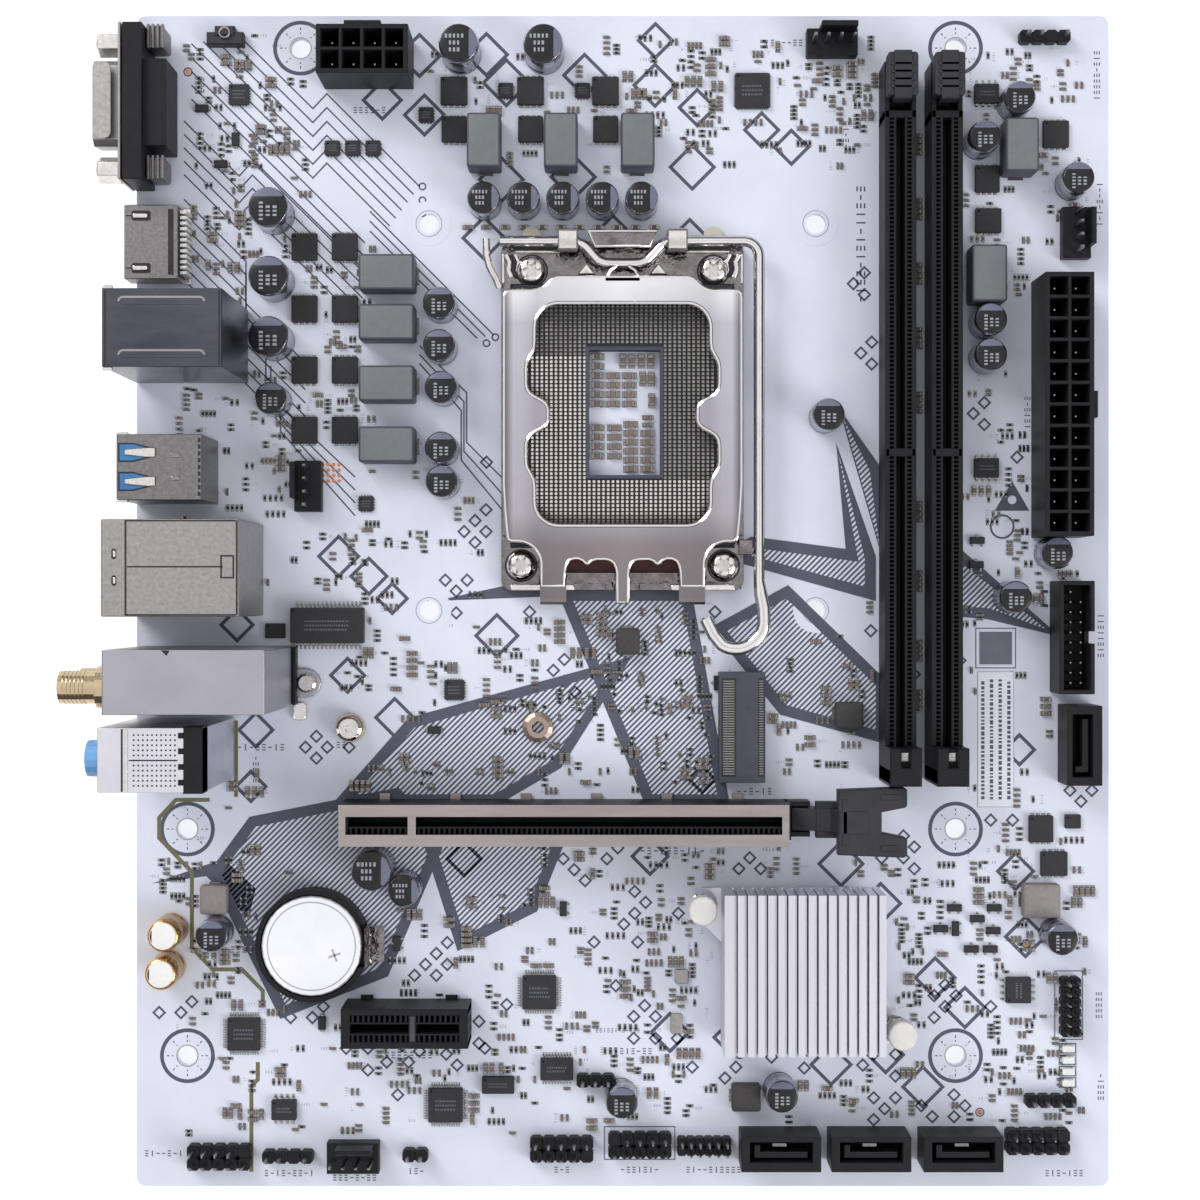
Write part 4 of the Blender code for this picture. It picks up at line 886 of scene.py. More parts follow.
TRANSISTORS = (
    (169.4, 130.2, 0), (169.2, 125.3, 0), (164.8, 56.2, 0), (172.8, 56.2, 0), (169.4, 54.0, 0),
    (162.0, 52.0, 0), (165.0, 52.0, 90), (172.6, 51.6, 0), (168.2, 47.9, 0), (172.0, 47.9, 0),
    (117.0, 101.5, 90), (86.0, 56.0, 90), (52.5, 49.0, 90),
)
for x, y, turn in TRANSISTORS:
    transistor(x, y, turn)
for x, y, turn in ((13.2, 217.2, 0), (20.0, 211.0, 90), (17.0, 206.0, 0), (37.4, 33.0, 90), (60.0, 92.0, 0)):
    diode(x, y, turn)

# ---------------------------------------------------------------- pin headers

header(16.9, 6.3, 5, 2, missing=((4, 1),))
header(30.7, 6.4, 4, 1, missing=((2, 0),))
header(56.3, 6.7, 2, 1, finish=DARK)
header(85.7, 7.9, 5, 2, missing=((4, 0),))
header(101.4, 8.7, 5, 2, missing=((0, 1),))
header(114.3, 8.5, 6, 2, pitch=1.8, missing=((0, 0),))
header(183.9, 17.6, 4, 1)
header(187.9, 36.5, 2, 6, pitch=2.0)
header(92.5, 21.7, 3, 1)
header(182.7, 231.3, 4, 1, missing=((2, 0),))

# ---------------------------------------------------------------- small chips in their groups

for i in range(11):
    group(66.8 + 3.75 * i, 193.3, 1, 1, 0, "C")
for y in (210.0, 197.0, 184.0, 171.0, 158.0, 136.0, 122.0, 108.0, 98.0):
    group(157.3, y, 4, 1.15, 0, "C")
# Each row is a rectangle's corners (x0, y0, x1, y1) and how many groups to try in it.
CLUSTERS = (
    (9.5, 214, 23, 232, 12), (12, 204, 30, 214, 12), (23, 206, 28, 226, 8), (11, 186, 21, 207, 16),
    (14, 174, 21, 186, 6), (23, 145, 31, 168, 12), (8, 150, 15, 166, 10), (29, 206, 50, 212, 6),
    (35, 180, 47, 186, 12), (36, 168, 47, 172, 12), (36, 156, 47, 160, 12), (28, 140, 33, 150, 6),
    (56, 223, 62, 231, 4), (60, 205, 105, 230, 40), (105, 215, 120, 232, 22), (112, 224, 134, 230, 10),
    (128, 212, 148, 226, 24), (108, 208, 118, 216, 10), (140, 214, 149, 222, 8),
    (166, 222, 195, 230, 22), (166, 196, 194, 216, 20), (166, 175, 180, 196, 14),
    (183, 190, 187, 215, 8), (168, 150, 176, 165, 8), (165, 120, 180, 150, 12),
    (176, 118, 194, 135, 12), (46, 128, 70, 150, 16), (34, 120, 52, 132, 12), (42, 100, 62, 118, 22),
    (62, 94, 78, 110, 16), (76, 96, 96, 118, 26), (96, 96, 116, 118, 34), (86, 80, 116, 92, 22),
    (44, 78, 84, 90, 16), (128, 84, 150, 104, 26), (128, 104, 150, 120, 8), (168, 78, 196, 104, 14),
    (168, 56, 194, 72, 22), (168, 30, 194, 56, 26), (154, 40, 172, 62, 14), (100, 40, 118, 68, 28),
    (72, 42, 98, 68, 26), (52, 36, 74, 58, 16), (70, 20, 100, 36, 24), (98, 14, 118, 40, 26),
    (36, 10, 60, 30, 18), (10, 10, 34, 28, 22), (8, 28, 30, 44, 22), (8, 40, 24, 64, 26),
    (3, 60, 26, 84, 20), (118, 12, 150, 28, 22), (150, 14, 196, 26, 20), (56, 10, 80, 24, 12),
    (136, 68, 150, 82, 4), (124, 60, 146, 70, 10), (84, 10, 96, 16, 4), (140, 28, 156, 44, 6),
)
for seed, (x0, y0, x1, y1, groups) in enumerate(CLUSTERS, 1):
    scatter(x0, y0, x1, y1, groups, seed)
CROWDED = (
    (60, 205, 105, 232, 30), (105, 205, 150, 232, 60), (12, 185, 34, 232, 60), (165, 175, 196, 232, 40),
    (96, 84, 118, 120, 40), (70, 84, 96, 110, 24), (150, 28, 175, 66, 50), (170, 12, 196, 62, 60),
    (94, 36, 118, 70, 50), (8, 20, 60, 42, 30), (60, 12, 112, 40, 50), (34, 150, 48, 192, 30),
    (166, 112, 190, 152, 30), (5, 42, 32, 66, 30), (44, 94, 70, 135, 30), (9, 120, 34, 170, 40),
)
for seed, (x0, y0, x1, y1, groups) in enumerate(CROWDED, 71):
    scatter(x0, y0, x1, y1, groups, seed, "crrrc")
for i in range(14):
    group(50.5 + 6.2 * i, 83.6, 2, 1.0, 90, "c")

# ---------------------------------------------------------------- printed lines and rings

for x, y in SCREWS:
    ring_print(x, y, 5.15, 0.75)
    marks = into("thin_lines", INK)
    for angle in range(0, 360, 45):
        marks.add(block(0.5, 0.2, 0, PRINT, 0.005), *swing(x, y, 3.9, 0, angle), 0, angle)
        marks.add(block(0.3, 0.2, 0, PRINT, 0.005), *swing(x, y, 3.0, 0, angle), 0, angle)
    ring_print(x, y, 2.15, 0.2, "bare_rings", TIN)
for x, y in COOLER:
    ring_print(x, y, 2.6, 0.14, "pad_rings", INK_LIGHT, 0.05)

# Families of bent lines beside the rear ports, each line a step below the one before it.
LINE = 0.3
zigzag = into("zigzag_lines", INK)
for i in range(9):
    drop = 2.8 * i
    shift = min(i, 4) * 2.4
    start = (20.6 - shift, 232.0 - drop + shift)
    if i < 6:
        path = [start, (35.5, 217.3 - drop), (38.3, 220.3 - drop), (57.0 - i * 1.2, 201.6 - drop + i * 1.2)]
    else:
        path = [start, (33.5, 219.4 - drop), (46.0, 207.0 - drop)]
    zigzag.add(stroke(path, LINE))
FAMILIES = (
    (5, 2.7, ((9.5, 214.8), (20.6, 203.7), (23.3, 206.6), (45.5, 184.5))),
    (7, 2.7, ((9.5, 199.0), (22.0, 186.5), (22.0, 178.0), (34.0, 166.0))),
)
for count, step, path in FAMILIES:
    for i in range(count):
        zigzag.add(stroke([(x, y - step * i) for x, y in path], LINE))
for i in range(4):
    drop = 2.6 * i
    zigzag.add(stroke([(26.0 + i, 168.0 - drop), (26.0 + i, 160.0 - drop), (44.0, 143.0 - drop)], LINE))
for i in range(3):
    drop = 2.0 * i
    zigzag.add(stroke([(47.0, 196.6 - drop), (72.0 - i * 1.7, 171.6 - drop + i * 1.7)], LINE))
for i in range(3):
    drop = 1.8 * i
    bend = 66.5 - drop * 0.3
    zigzag.add(stroke([(57.0, 169.5 - drop), (bend, 160.0 - drop), (bend, 150.0 - drop),
                       (75.5, 141.0 - drop * 1.9)], LINE))
for x, y in ((57.6, 201.6), (57.6, 198.8), (57.6, 196.2), (72.3, 171.2), (70.5, 170.0)):
    ring_print(x, y, 0.65, 0.3, "small_rings")

# Large diamonds: middle and half their width.
DIAMONDS = (
    (49.5, 219.0, 3.8), (57.0, 228.0, 4.2), (70.5, 228.2, 4.2), (90.3, 224.0, 4.2), (74.5, 222.5, 4.6),
    (58.0, 216.0, 4.0), (73.5, 203.0, 4.4), (88.0, 203.5, 4.4), (70.0, 191.2, 4.2), (96.0, 191.5, 4.2),
    (111.5, 190.5, 4.4), (112.0, 205.5, 4.4), (104.5, 222.0, 4.2), (104.6, 231.0, 3.4),
    (126.0, 213.0, 3.4), (132.0, 209.5, 3.4), (113.0, 217.5, 3.6), (40.7, 127.0, 4.0),
    (46.8, 123.0, 3.6), (51.5, 118.5, 3.0), (42.5, 103.0, 3.4), (52.0, 94.5, 3.8), (72.6, 111.0, 4.2),
    (20.2, 113.2, 3.2), (24.0, 92.0, 3.4), (23.0, 80.6, 3.0), (177.2, 63.5, 3.6), (179.2, 50.3, 4.0),
    (142.0, 65.0, 4.4), (150.0, 57.0, 4.0), (103.5, 66.5, 3.6), (66.0, 66.0, 3.4), (161.0, 42.0, 4.0),
    (167.0, 36.0, 4.0), (120.0, 30.0, 3.6), (107.5, 31.0, 3.8), (151.0, 26.5, 3.6), (140.0, 24.5, 4.0),
    (158.5, 20.0, 4.0), (178.0, 88.0, 3.0), (163.5, 88.5, 3.0), (114.0, 82.0, 2.6),
)
for x, y, half in DIAMONDS:
    diamond(x, y, half, 0.68)

# Fields of small diamonds on a slanted grid: left end, columns and rows.
DIAMOND_FIELDS = (
    (150.5, 214, 2, 7), (144.5, 182, 3, 4), (146.0, 168, 2, 6), (166.5, 158, 2, 6), (57.5, 166, 2, 3),
    (70.5, 146, 2, 5), (66.0, 132, 3, 3), (60.0, 120, 3, 3), (77.0, 118, 3, 3), (84.0, 104, 2, 5),
    (34.0, 88.5, 3, 3), (28.0, 100.5, 2, 2), (40.0, 30.0, 4, 4), (46.0, 25.0, 4, 4), (58.0, 31.0, 4, 4),
    (68.0, 30.0, 4, 3), (26.0, 40.0, 3, 3), (31.0, 34.0, 3, 3), (56.0, 42.5, 5, 2), (86.0, 66.0, 4, 3),
    (96.0, 55.0, 4, 4), (106.0, 50.0, 4, 3), (90.0, 47.0, 4, 4), (98.0, 32.0, 4, 4),
    (112.0, 24.0, 4, 3), (128.0, 26.0, 5, 3), (142.0, 20.0, 5, 4), (152.0, 34.0, 5, 4),
    (160.0, 56.0, 3, 3), (170.0, 34.0, 4, 3), (156.0, 14.0, 4, 3), (148.0, 64.0, 4, 3),
    (117.0, 64.0, 4, 3), (128.0, 64.0, 4, 3), (4.5, 35.0, 3, 5), (170.0, 76.0, 3, 3),
    (186.0, 82.0, 2, 3), (166.0, 106.0, 2, 6), (148.0, 112.0, 2, 8), (110.0, 118.0, 2, 3),
)
FIELD_STEP = 2.2
draw = random.Random(11)
for x, y, columns, rows in DIAMOND_FIELDS:
    for i in range(columns):
        for j in range(rows):
            cx, cy = x + FIELD_STEP * (i + j), y - FIELD_STEP * (j - i)
            if draw.random() < 0.72 and is_free(cx, cy, 1.4, 1.4):
                diamond(cx, cy, 1.15, 0.4)

# ---------------------------------------------------------------- the printed pattern: plain hatched shards

SHARDS = (
    ((17.0, 63.0), (24.0, 72.5), (52.0, 78.0), (60.0, 70.0), (49.0, 44.0), (30.0, 36.5)),
    ((44.0, 79.0), (56.0, 92.5), (96.0, 104.0), (84.0, 86.0), (72.0, 79.0)),
    ((60.0, 69.5), (84.0, 69.5), (79.0, 57.0), (66.0, 50.5)),
    ((88.0, 118.0), (110.0, 118.0), (117.0, 79.0), (104.0, 79.0)),
    ((119.0, 112.0), (131.0, 118.5), (149.0, 101.0), (149.0, 92.0), (131.0, 97.0)),
    ((117.0, 127.0), (149.0, 118.0), (149.0, 127.0), (141.0, 150.0), (143.0, 128.5), (124.0, 131.0)),
    ((166.0, 126.0), (184.0, 112.0), (172.0, 116.5), (166.0, 117.0)),
    ((150.0, 145.0), (141.5, 157.0), (150.0, 127.5)),
)
borders = into("pattern_borders", INK)
fills = into("pattern_hatch", INK)
for i, shard in enumerate(SHARDS):
    borders.add(stroke(inset(shard, 1.1), 2.2, 0, PRINT + 0.02 + 0.01 * i, closed=True))
    fills.add(hatch(inset(shard, 1.9), 0.82, 0.38, 45))
for solid in ([(3.0, 61.0), (17.5, 66.0), (24.0, 60.0), (22.5, 54.0), (14.0, 62.5)],
              [(60.0, 118.0), (90.0, 124.5), (86.0, 119.0)]):
    borders.add(panel(solid, [], 0, PRINT))

# ---------------------------------------------------------------- bare trace, test marks and printed labels

TRACES = (
    [(14.7, 77.9), (7.9, 77.9), (4.5, 74.3), (4.5, 70.2), (11.1, 63.3), (11.1, 48.1), (15.3, 43.7),
     (21.2, 43.7), (25.4, 39.4), (25.4, 36.4)],
    [(24.4, 25.0), (24.4, 21.5), (23.1, 20.2), (23.1, 2.9)],
    [(20.0, 93.9), (20.0, 78.5)],
)
for path in TRACES:
    into("bare_traces", OLIVE).add(stroke(path, 0.8, 0, 0.035))
for x, y in ((170.0, 14.9), (179.4, 48.9), (151.3, 221.0), (10.3, 224.7)):
    disc(into("copper_marks", COPPER), x, y, 0.55)
    ring_print(x, y, 0.8, 0.25, "small_rings")
for i in range(4):
    for j in range(4):
        disc(into("copper_marks", COPPER), 37.5 + 1.1 * i, 145.5 - 1.1 * j, 0.38, 10)
outline_print(101.4, 8.7, 14.2, 6.6)
outline_print(187.9, 36.5, 5.6, 13.8)
outline_print(*DATE_MARK, 8.0, 8.0)
into("grey_pads", GREY_MARK).add(block(6.6, 6.6, 0, PRINT, 0.01), *DATE_MARK)
into("sticker", PAPER).add(block(STICKER_W, STICKER_L, 0, 0.06, 0.02), *STICKER)
outline_print(*STICKER, STICKER_W, STICKER_L, 0.15)
for row in range(4):
    x = STICKER[0] - 2.6 + 1.75 * row
    greek(x, STICKER[1], STICKER_L - 3.0, 1, 0.9, 90, 40 + row, 0.06, "sticker_marks", INK)
triangle = [(173.0, 136.2), (180.0, 136.2), (176.5, 142.2)]
borders.add(panel(triangle, [circle(0.9, 12, 176.5, 138.4)], 0, PRINT))
ring_print(174.5, 133.0, 2.3, 0.4)

# Rows of strokes in place of printed names: middle, number of strokes, height and turn.
PRINTED_NAMES = (
    (46.9, 217.0, 6, 1.2, 0), (131.0, 230.6, 8, 1.2, 0), (146.0, 190.0, 14, 1.8, 90),
    (143.0, 212.0, 5, 1.2, 90), (193.6, 224.0, 9, 1.2, 90), (194.2, 198.0, 8, 1.2, 90),
    (179.6, 156.0, 6, 1.2, 90), (194.4, 111.0, 8, 1.2, 90), (194.0, 36.5, 5, 1.2, 90),
    (194.4, 20.0, 5, 1.2, 90), (5.4, 6.6, 7, 1.2, 0), (30.7, 2.6, 9, 1.2, 0), (43.9, 1.7, 8, 1.2, 0),
    (56.3, 3.0, 3, 1.2, 0), (85.7, 3.3, 3, 1.2, 0), (101.4, 3.3, 7, 1.2, 0), (116.3, 3.3, 10, 1.2, 0),
    (187.0, 2.6, 7, 1.2, 0), (54.8, 26.4, 8, 1.3, 0), (108.0, 67.6, 10, 1.4, 0),
    (128.0, 67.9, 6, 0.7, 0), (99.5, 27.2, 8, 1.2, 0), (25.0, 88.5, 8, 1.3, 0),
    (22.5, 122.0, 4, 1.2, 0), (21.0, 47.7, 4, 1.2, 0), (24.0, 84.0, 5, 1.2, 90),
    (13.0, 222.0, 3, 1.2, 90), (41.2, 89.0, 2, 1.2, 0), (88.5, 96.5, 2, 1.2, 0),
    (124.5, 79.6, 6, 1.3, 0), (97.0, 31.4, 12, 0.8, 0),
)
for seed, (x, y, marks, height, turn) in enumerate(PRINTED_NAMES, 1):
    label(x, y, marks, height, turn, seed, "labels_dark", INK)

# ---------------------------------------------------------------- processor socket

WINDOW = (SOCKET[0] + 0.4, SOCKET[1] + 0.6)
PITCH_X, PITCH_Y = 0.95, 0.8
contacts = into("socket_contacts", CONTACT)
dark_contacts = into("socket_contacts_shaded", SHADED_CONTACT)
for x in [SOCKET[0] + u for u in spaced(39, PITCH_X)]:
    for y in [SOCKET[1] + v for v in spaced(56, PITCH_Y)]:
        if abs(x - WINDOW[0]) < 8.0 and abs(y - WINDOW[1]) < 13.6:
            continue
        lower = x < WINDOW[0] - 7.4 and y < SOCKET[1] + 12.4 or y < SOCKET[1] - 12.4
        shade = contacts if lower else dark_contacts
        shade.add(block(0.55, 0.58, -0.06, 0.06, 0.03), x, y, 2.9, 0, 16 if lower else -28)
window_outer = [(WINDOW[0] + u, WINDOW[1] + v) for u, v in box_outline(15.6, 26.4)]
window_inner = [(WINDOW[0] + u, WINDOW[1] + v) for u, v in box_outline(14.2, 25.0)]
into("socket_window_frame", SOCKET_PRINT).add(panel(window_outer, [window_inner], 2.62, 3.2))
WINDOW_COLUMNS = (
    (-5.1, (12.1, 10.2, 8.3, 6.4, 4.5, 2.6, -2.2, -4.1, -6.0, -7.9)),
    (-1.9, (8.3, 6.4, 4.5, 2.6)),
    (1.4, (8.3, 6.4, 4.5, 2.6)),
    (-1.6, (-2.2, -4.1, -6.0, -7.9)),
    (1.7, (-1.5, -3.3, -5.1, -6.9, -8.7, -10.5)),
    (5.1, (-3.3, -5.1, -6.9, -8.7, -10.5)),
)
for column, rows in WINDOW_COLUMNS:
    for x, y in from_socket([(column, row) for row in rows]):
        chip(x, y, 0, "B")
UPRIGHT_CHIPS = [(0.1, 11.3), (1.9, 11.3), (3.8, 11.3), (5.7, 11.3), (4.1, 7.7), (5.8, 7.7), (5.9, 3.3)]
for x, y in from_socket(UPRIGHT_CHIPS):
    chip(x, y, 90, "B")
group(SOCKET[0] - 4.0, SOCKET[1] - 10.2, 4, 1.3, 90, "r")
for x, y in from_socket([(5.1, -0.1), (5.1, -1.6)]):
    chip(x, y, 0, "C")


def mirrored(half):
    return half + [(-x, y) for x, y in reversed(half) if x > 1e-6]


def plate_outer():
    """The load plate's outline, from its finger tab round its right shoulder, mirrored to the left."""
    right = [(0.0, -37.6), (1.35, -37.6), (1.35, -31.6)]
    right += [(1.5, -30.6), (1.9, -29.7), (2.6, -29.2), (3.4, -29.0), (5.2, -29.0), (6.0, -29.3),
              (6.5, -29.8), (7.0, -30.0), (7.5, -29.8), (8.1, -29.2), (8.9, -28.85), (9.8, -28.9),
              (10.6, -29.3), (11.1, -30.2)]
    right += [(11.3, -31.4), (11.4, -34.4), (16.4, -34.4), (16.4, -29.8)]
    right += arc(20.8, -29.8, 4.4, 180, 90, 12)[1:]
    right += [(22.2, -25.4), (22.9, -25.0), (23.1, -24.2), (23.3, -22.4), (23.6, -19.0), (23.9, -14.0)]
    right += [(23.9, 23.4), (23.7, 24.2), (23.1, 24.7), (21.2, 24.9)]
    right += arc(18.4, 29.4, 4.6, -80, -140, 10)
    right += [(14.2, 27.1), (13.2, 27.5), (12.0, 27.6), (0.0, 27.6)]
    return from_socket(mirrored(right))


def plate_window():
    """The plate's window: rounded corners, and on each long side two wide notches with a tongue between."""
    half_x, half_y, corner = 17.5, 22.1, 4.8
    notch = ((0.0, 14.6), (0.15, 13.0), (0.9, 11.6), (1.5, 10.5), (1.7, 9.4), (1.7, 6.2), (1.5, 5.0),
             (0.9, 4.1), (-0.2, 3.4), (-1.4, 2.8), (-2.3, 2.1), (-2.65, 1.1))
    side = [(half_x + u, v) for u, v in notch]
    right = [(0.0, -half_y)]
    right += arc(half_x - corner, corner - half_y, corner, -90, 0, 12)
    right += [(x, -y) for x, y in side]
    right += side[::-1]
    right += arc(half_x - corner, half_y - corner, corner, 0, 90, 12)
    right += [(0.0, half_y)]
    return from_socket(mirrored(right))


def painted_sheen_look():
    """The load plate's steel with painted light: a painted reflection brighter towards its hinge and greyer
    towards its hooks, and a painted shade line and highlight band along each long side.
    """
    made = look("load_plate_painted_sheen", (250, 250, 250), 0.24, metal=1.0, spread=0.03, size=9.0, grain=0.6,
                bump=0.012, rough_spread=0.03)
    tree = made.node_tree
    shader = tree.nodes["Principled BSDF"]
    mottle = shader.inputs["Base Color"].links[0].from_socket
    coordinates = node(tree, "ShaderNodeTexCoord")
    split = node(tree, "ShaderNodeSeparateXYZ")
    tree.links.new(coordinates.outputs["Object"], split.inputs["Vector"])
    low, high = [place(x, y, 0) for x, y in from_socket([(-23.1, -38.0), (23.1, 28.0)])]
    # Along Y, a painted reflection: dim at the hooks, brightest near the hinge. Across X, at each long side,
    # a painted shade line at the outer edge and a painted highlight band just inside it.
    along = ((0.0, (150, 143, 144)), (0.18, (160, 151, 152)), (0.28, (196, 193, 202)),
             (0.85, (210, 208, 218)), (0.92, (244, 243, 247)), (0.97, (254, 254, 255)))
    half = ((0.0, (170, 168, 170)), (0.03, (255, 255, 255)), (0.07, (250, 250, 250)), (0.13, (228, 227, 230)))
    across = [*half, (0.5, (255, 255, 255))] + [(1.0 - position, shade) for position, shade in half[::-1]]
    colour = mottle
    for way, axis, steps in ((1, "Y", along), (0, "X", across)):
        spread = node(tree, "ShaderNodeMapRange")
        spread.inputs["From Min"].default_value = low[way]
        spread.inputs["From Max"].default_value = high[way]
        tree.links.new(split.outputs[axis], spread.inputs["Value"])
        ramp = node(tree, "ShaderNodeValToRGB")
        ramp_steps(ramp, [(position, linear(shade)) for position, shade in steps])
        tree.links.new(spread.outputs["Result"], ramp.inputs["Fac"])
        mix = node(tree, "ShaderNodeMix", data_type="RGBA", blend_type="MULTIPLY")
        mix.inputs["Factor"].default_value = 1.0
        tree.links.new(ramp.outputs["Color"], mix.inputs[6])
        tree.links.new(colour, mix.inputs[7])
        colour = mix.outputs[2]
    tree.links.new(colour, shader.inputs["Base Color"])
    return made


PLATE_LOW, PLATE_TOP = 4.9, 6.1
PLATE_SHEEN = painted_sheen_look()
plate = Shape().add(panel(plate_outer(), [plate_window()], PLATE_LOW, PLATE_TOP))
piece("socket_load_plate", plate, PLATE_SHEEN, "load_plate", bevel=0.42,
      replaces=("load_plate",))
# A bright bead along the window and the plate's outer edge: a rolled edge in shape, whose brighter polished
# finish is a painted highlight.
rim = Shape()
for outline, reach, z in ((plate_window(), 0.42, 5.85), (plate_outer(), 0.38, 5.8)):
    edge = inset(outline, -0.05 if outline[0][1] > SOCKET[1] - 30 else 0.3)
    rim.add(swept(level(edge + edge[:1], z), reach, 10))
piece("load_plate_highlight_rim", rim, WIRE, "load_plate", smooth=60)
# Side views of the plate's hooks and of its hinge tail: distance from the socket's middle, and height.
HOOK = [(-34.0, 4.9), (-34.0, 6.1), (-36.6, 6.05), (-37.3, 5.8), (-37.8, 5.1), (-37.8, 3.4), (-36.8, 3.4),
        (-36.8, 4.7), (-37.0, 4.9)]
TAIL = [(36.1, 2.6), (36.1, 5.6), (35.1, 5.6), (35.1, 3.5), (28.1, 3.5), (27.9, 6.1), (26.5, 6.1),
        (26.6, 4.9), (27.2, 4.9), (27.4, 2.6)]
hooks = Shape()
for side in (-1, 1):
    hooks.add(extruded(HOOK, 5.2), SOCKET[0] + side * 13.8, SOCKET[1])
# The hooks take the dim end of the plate's painted reflection.
piece("load_plate_hooks", hooks, PLATE_SHEEN, "load_plate")
bar = from_socket([(-6.8, 36.4), (-5.4, 33.4), (5.4, 33.4), (6.8, 36.4)])
hinge_bar = Shape().add(raised(bar, 4.4, 6.0, 0.1)).add(extruded(TAIL, 6.8), *SOCKET)
piece("load_plate_hinge_bar", hinge_bar, SHADED, "load_plate")
# Bright wire round the dark hinge bar and along the folds beside it: painted highlights on their edges.
hinge_highlights = Shape()
edge = level(bar, 6.0)
hinge_highlights.add(swept(edge + edge[:1], 0.32, 8))
for side in (-1, 1):
    fold = from_socket([(side * u, v) for u, v in ((3.0, 27.5), (2.4, 28.6), (1.2, 29.4))])
    hinge_highlights.add(swept(level(fold, PLATE_TOP), 0.35, 8))
piece("load_plate_hinge_highlights", hinge_highlights, WIRE, "load_plate", smooth=60)


def lever_route():
    """The wire's centreline, with its corners rounded."""
    run_y, arm_x = SOCKET[1] + 34.6, SOCKET[0] + 27.2
    points = [(-24.4, 0.0), (-9.4, 0.0), (-7.6, -0.8), (-5.0, -3.9), (-3.4, -4.5), (3.4, -4.5), (5.0, -3.9),
              (7.6, -0.8), (9.4, 0.0)]
    points = [(SOCKET[0] + x, run_y + y) for x, y in points]
    path = [points[0]]
    for before, here, after in zip(points, points[1:], points[2:]):
        a, b = [[here[k] + (other[k] - here[k]) * 0.4 for k in range(2)] for other in (before, after)]
        for t in (0.25, 0.5, 0.75):
            shares = (1 - t) ** 2, 2 * t * (1 - t), t ** 2
            path.append(tuple(shares[0] * a[k] + shares[1] * here[k] + shares[2] * b[k] for k in range(2)))
    path.append(points[-1])
    path += arc(arm_x - 3.0, run_y - 3.0, 3.0, 90, 0, 10)
    path += [(arm_x, SOCKET[1] - 20.0), (arm_x, SOCKET[1] - 33.0), (arm_x + 0.3, SOCKET[1] - 35.5),
             (arm_x + 0.9, SOCKET[1] - 38.5)]
    path += arc(arm_x - 4.6, SOCKET[1] - 41.0, 5.6, 4, -120, 16)
    path += [(arm_x - 9.0, SOCKET[1] - 43.9), (arm_x - 10.6, SOCKET[1] - 40.6)]
    return path


route = lever_route()
hook_start = SOCKET[1] - 34.5
flat = [(1.25, 0.75) if y < hook_start else (1.0, 1.0) for _, y in route]
lever = Shape().add(swept(level(route, 4.8), 1.0, 20, flat))
piece("lever_wire", lever, WIRE, "lever", smooth=50, replaces=("lever",))
# Dark lines along both sides of the wire: painted shade on its edges.
lever_sides = Shape()
for side in (-1, 1):
    line = []
    for i, (x, y) in enumerate(route):
        ax, ay = route[max(0, i - 1)]
        bx, by = route[min(len(route) - 1, i + 1)]
        length = math.hypot(bx - ax, by - ay)
        wide = flat[i][0] - 0.06
        line.append((x - side * wide * (by - ay) / length, y + side * wide * (bx - ax) / length, 4.75))
    lever_sides.add(swept(line, 0.14, 8))
piece("lever_sides", lever_sides, SHADED, "lever", smooth=60)


def star_screw(x, y):
    """A domed head with a six-pointed recess."""
    sides = 48
    side_view = ((1.5, 0.0), (1.5, 2.6), (2.9, 2.6), (2.95, 3.0), (2.85, 3.4), (2.4, 4.0), (1.9, 4.35))
    rings = [level(circle(radius, sides), z) for radius, z in side_view]
    angles = [2 * math.pi * i / sides for i in range(sides)]
    for share, z in ((1.0, 4.42), (0.86, 4.0), (0.7, 3.0)):
        reach = [share * (1.35 + 0.45 * math.cos(6 * angle)) for angle in angles]
        rings.append([(r * math.cos(angle), r * math.sin(angle), z) for r, angle in zip(reach, angles)])
    return stack(rings)


for number in range(1, 5):
    x, y = middle(f"ilm_screw_{number}")
    screw = Shape().add(star_screw(0, 0), x, y).add(turned([(1.2, -3.2), (1.2, 0.0)], 16), x, y)
    piece(f"socket_screw_{number}", screw, BRIGHT, "board", smooth=40,
          replaces=(f"ilm_screw_{number}",))

EAR = ((23.3, 32.2, 3.2), (22.6, 30.8, 3.0), (22.9, 29.2, 2.7), (22.3, 27.8, 2.6))
STUB = ((-27.3, 35.4, 3.2), (-27.2, 32.0, 3.4), (-26.6, 29.8, 3.4), (-25.2, 27.2, 3.2), (-24.6, 25.6, 3.0))
# Bright steel on the socket's frame. The tabs and the caps over the wire are shapes of their own; the thin
# bright lines along the frame's edges and the bright bands along its ears are painted highlights, with dark
# lines of painted shade in socket_shadows beside them.
frame_shapes_and_highlights = Shape()
tab = [(-1.9, 0.0), (1.9, 0.0), (0.0, 2.4)]
tab_rings = [level(tab, 2.45), level(inset(tab, 0.25), 3.3), level(inset(tab, 0.8), 3.5)]
for side in (-1, 1):
    frame_shapes_and_highlights.add(stack(tab_rings), SOCKET[0] + side * 7.2, SOCKET[1] + 28.2)
    frame_shapes_and_highlights.add(soft_block(12.8, 1.2, 3.6, 4.6, 0.4, 0.2), SOCKET[0] + side * 16.0, SOCKET[1] - 34.4)
frame_top = span("ilm_frame")[5]
over_wire = [(2.3 * u, frame_top - 0.4 + 0.6 * v) for u, v in arc(0, 0, 1, 0, 180, 14)]
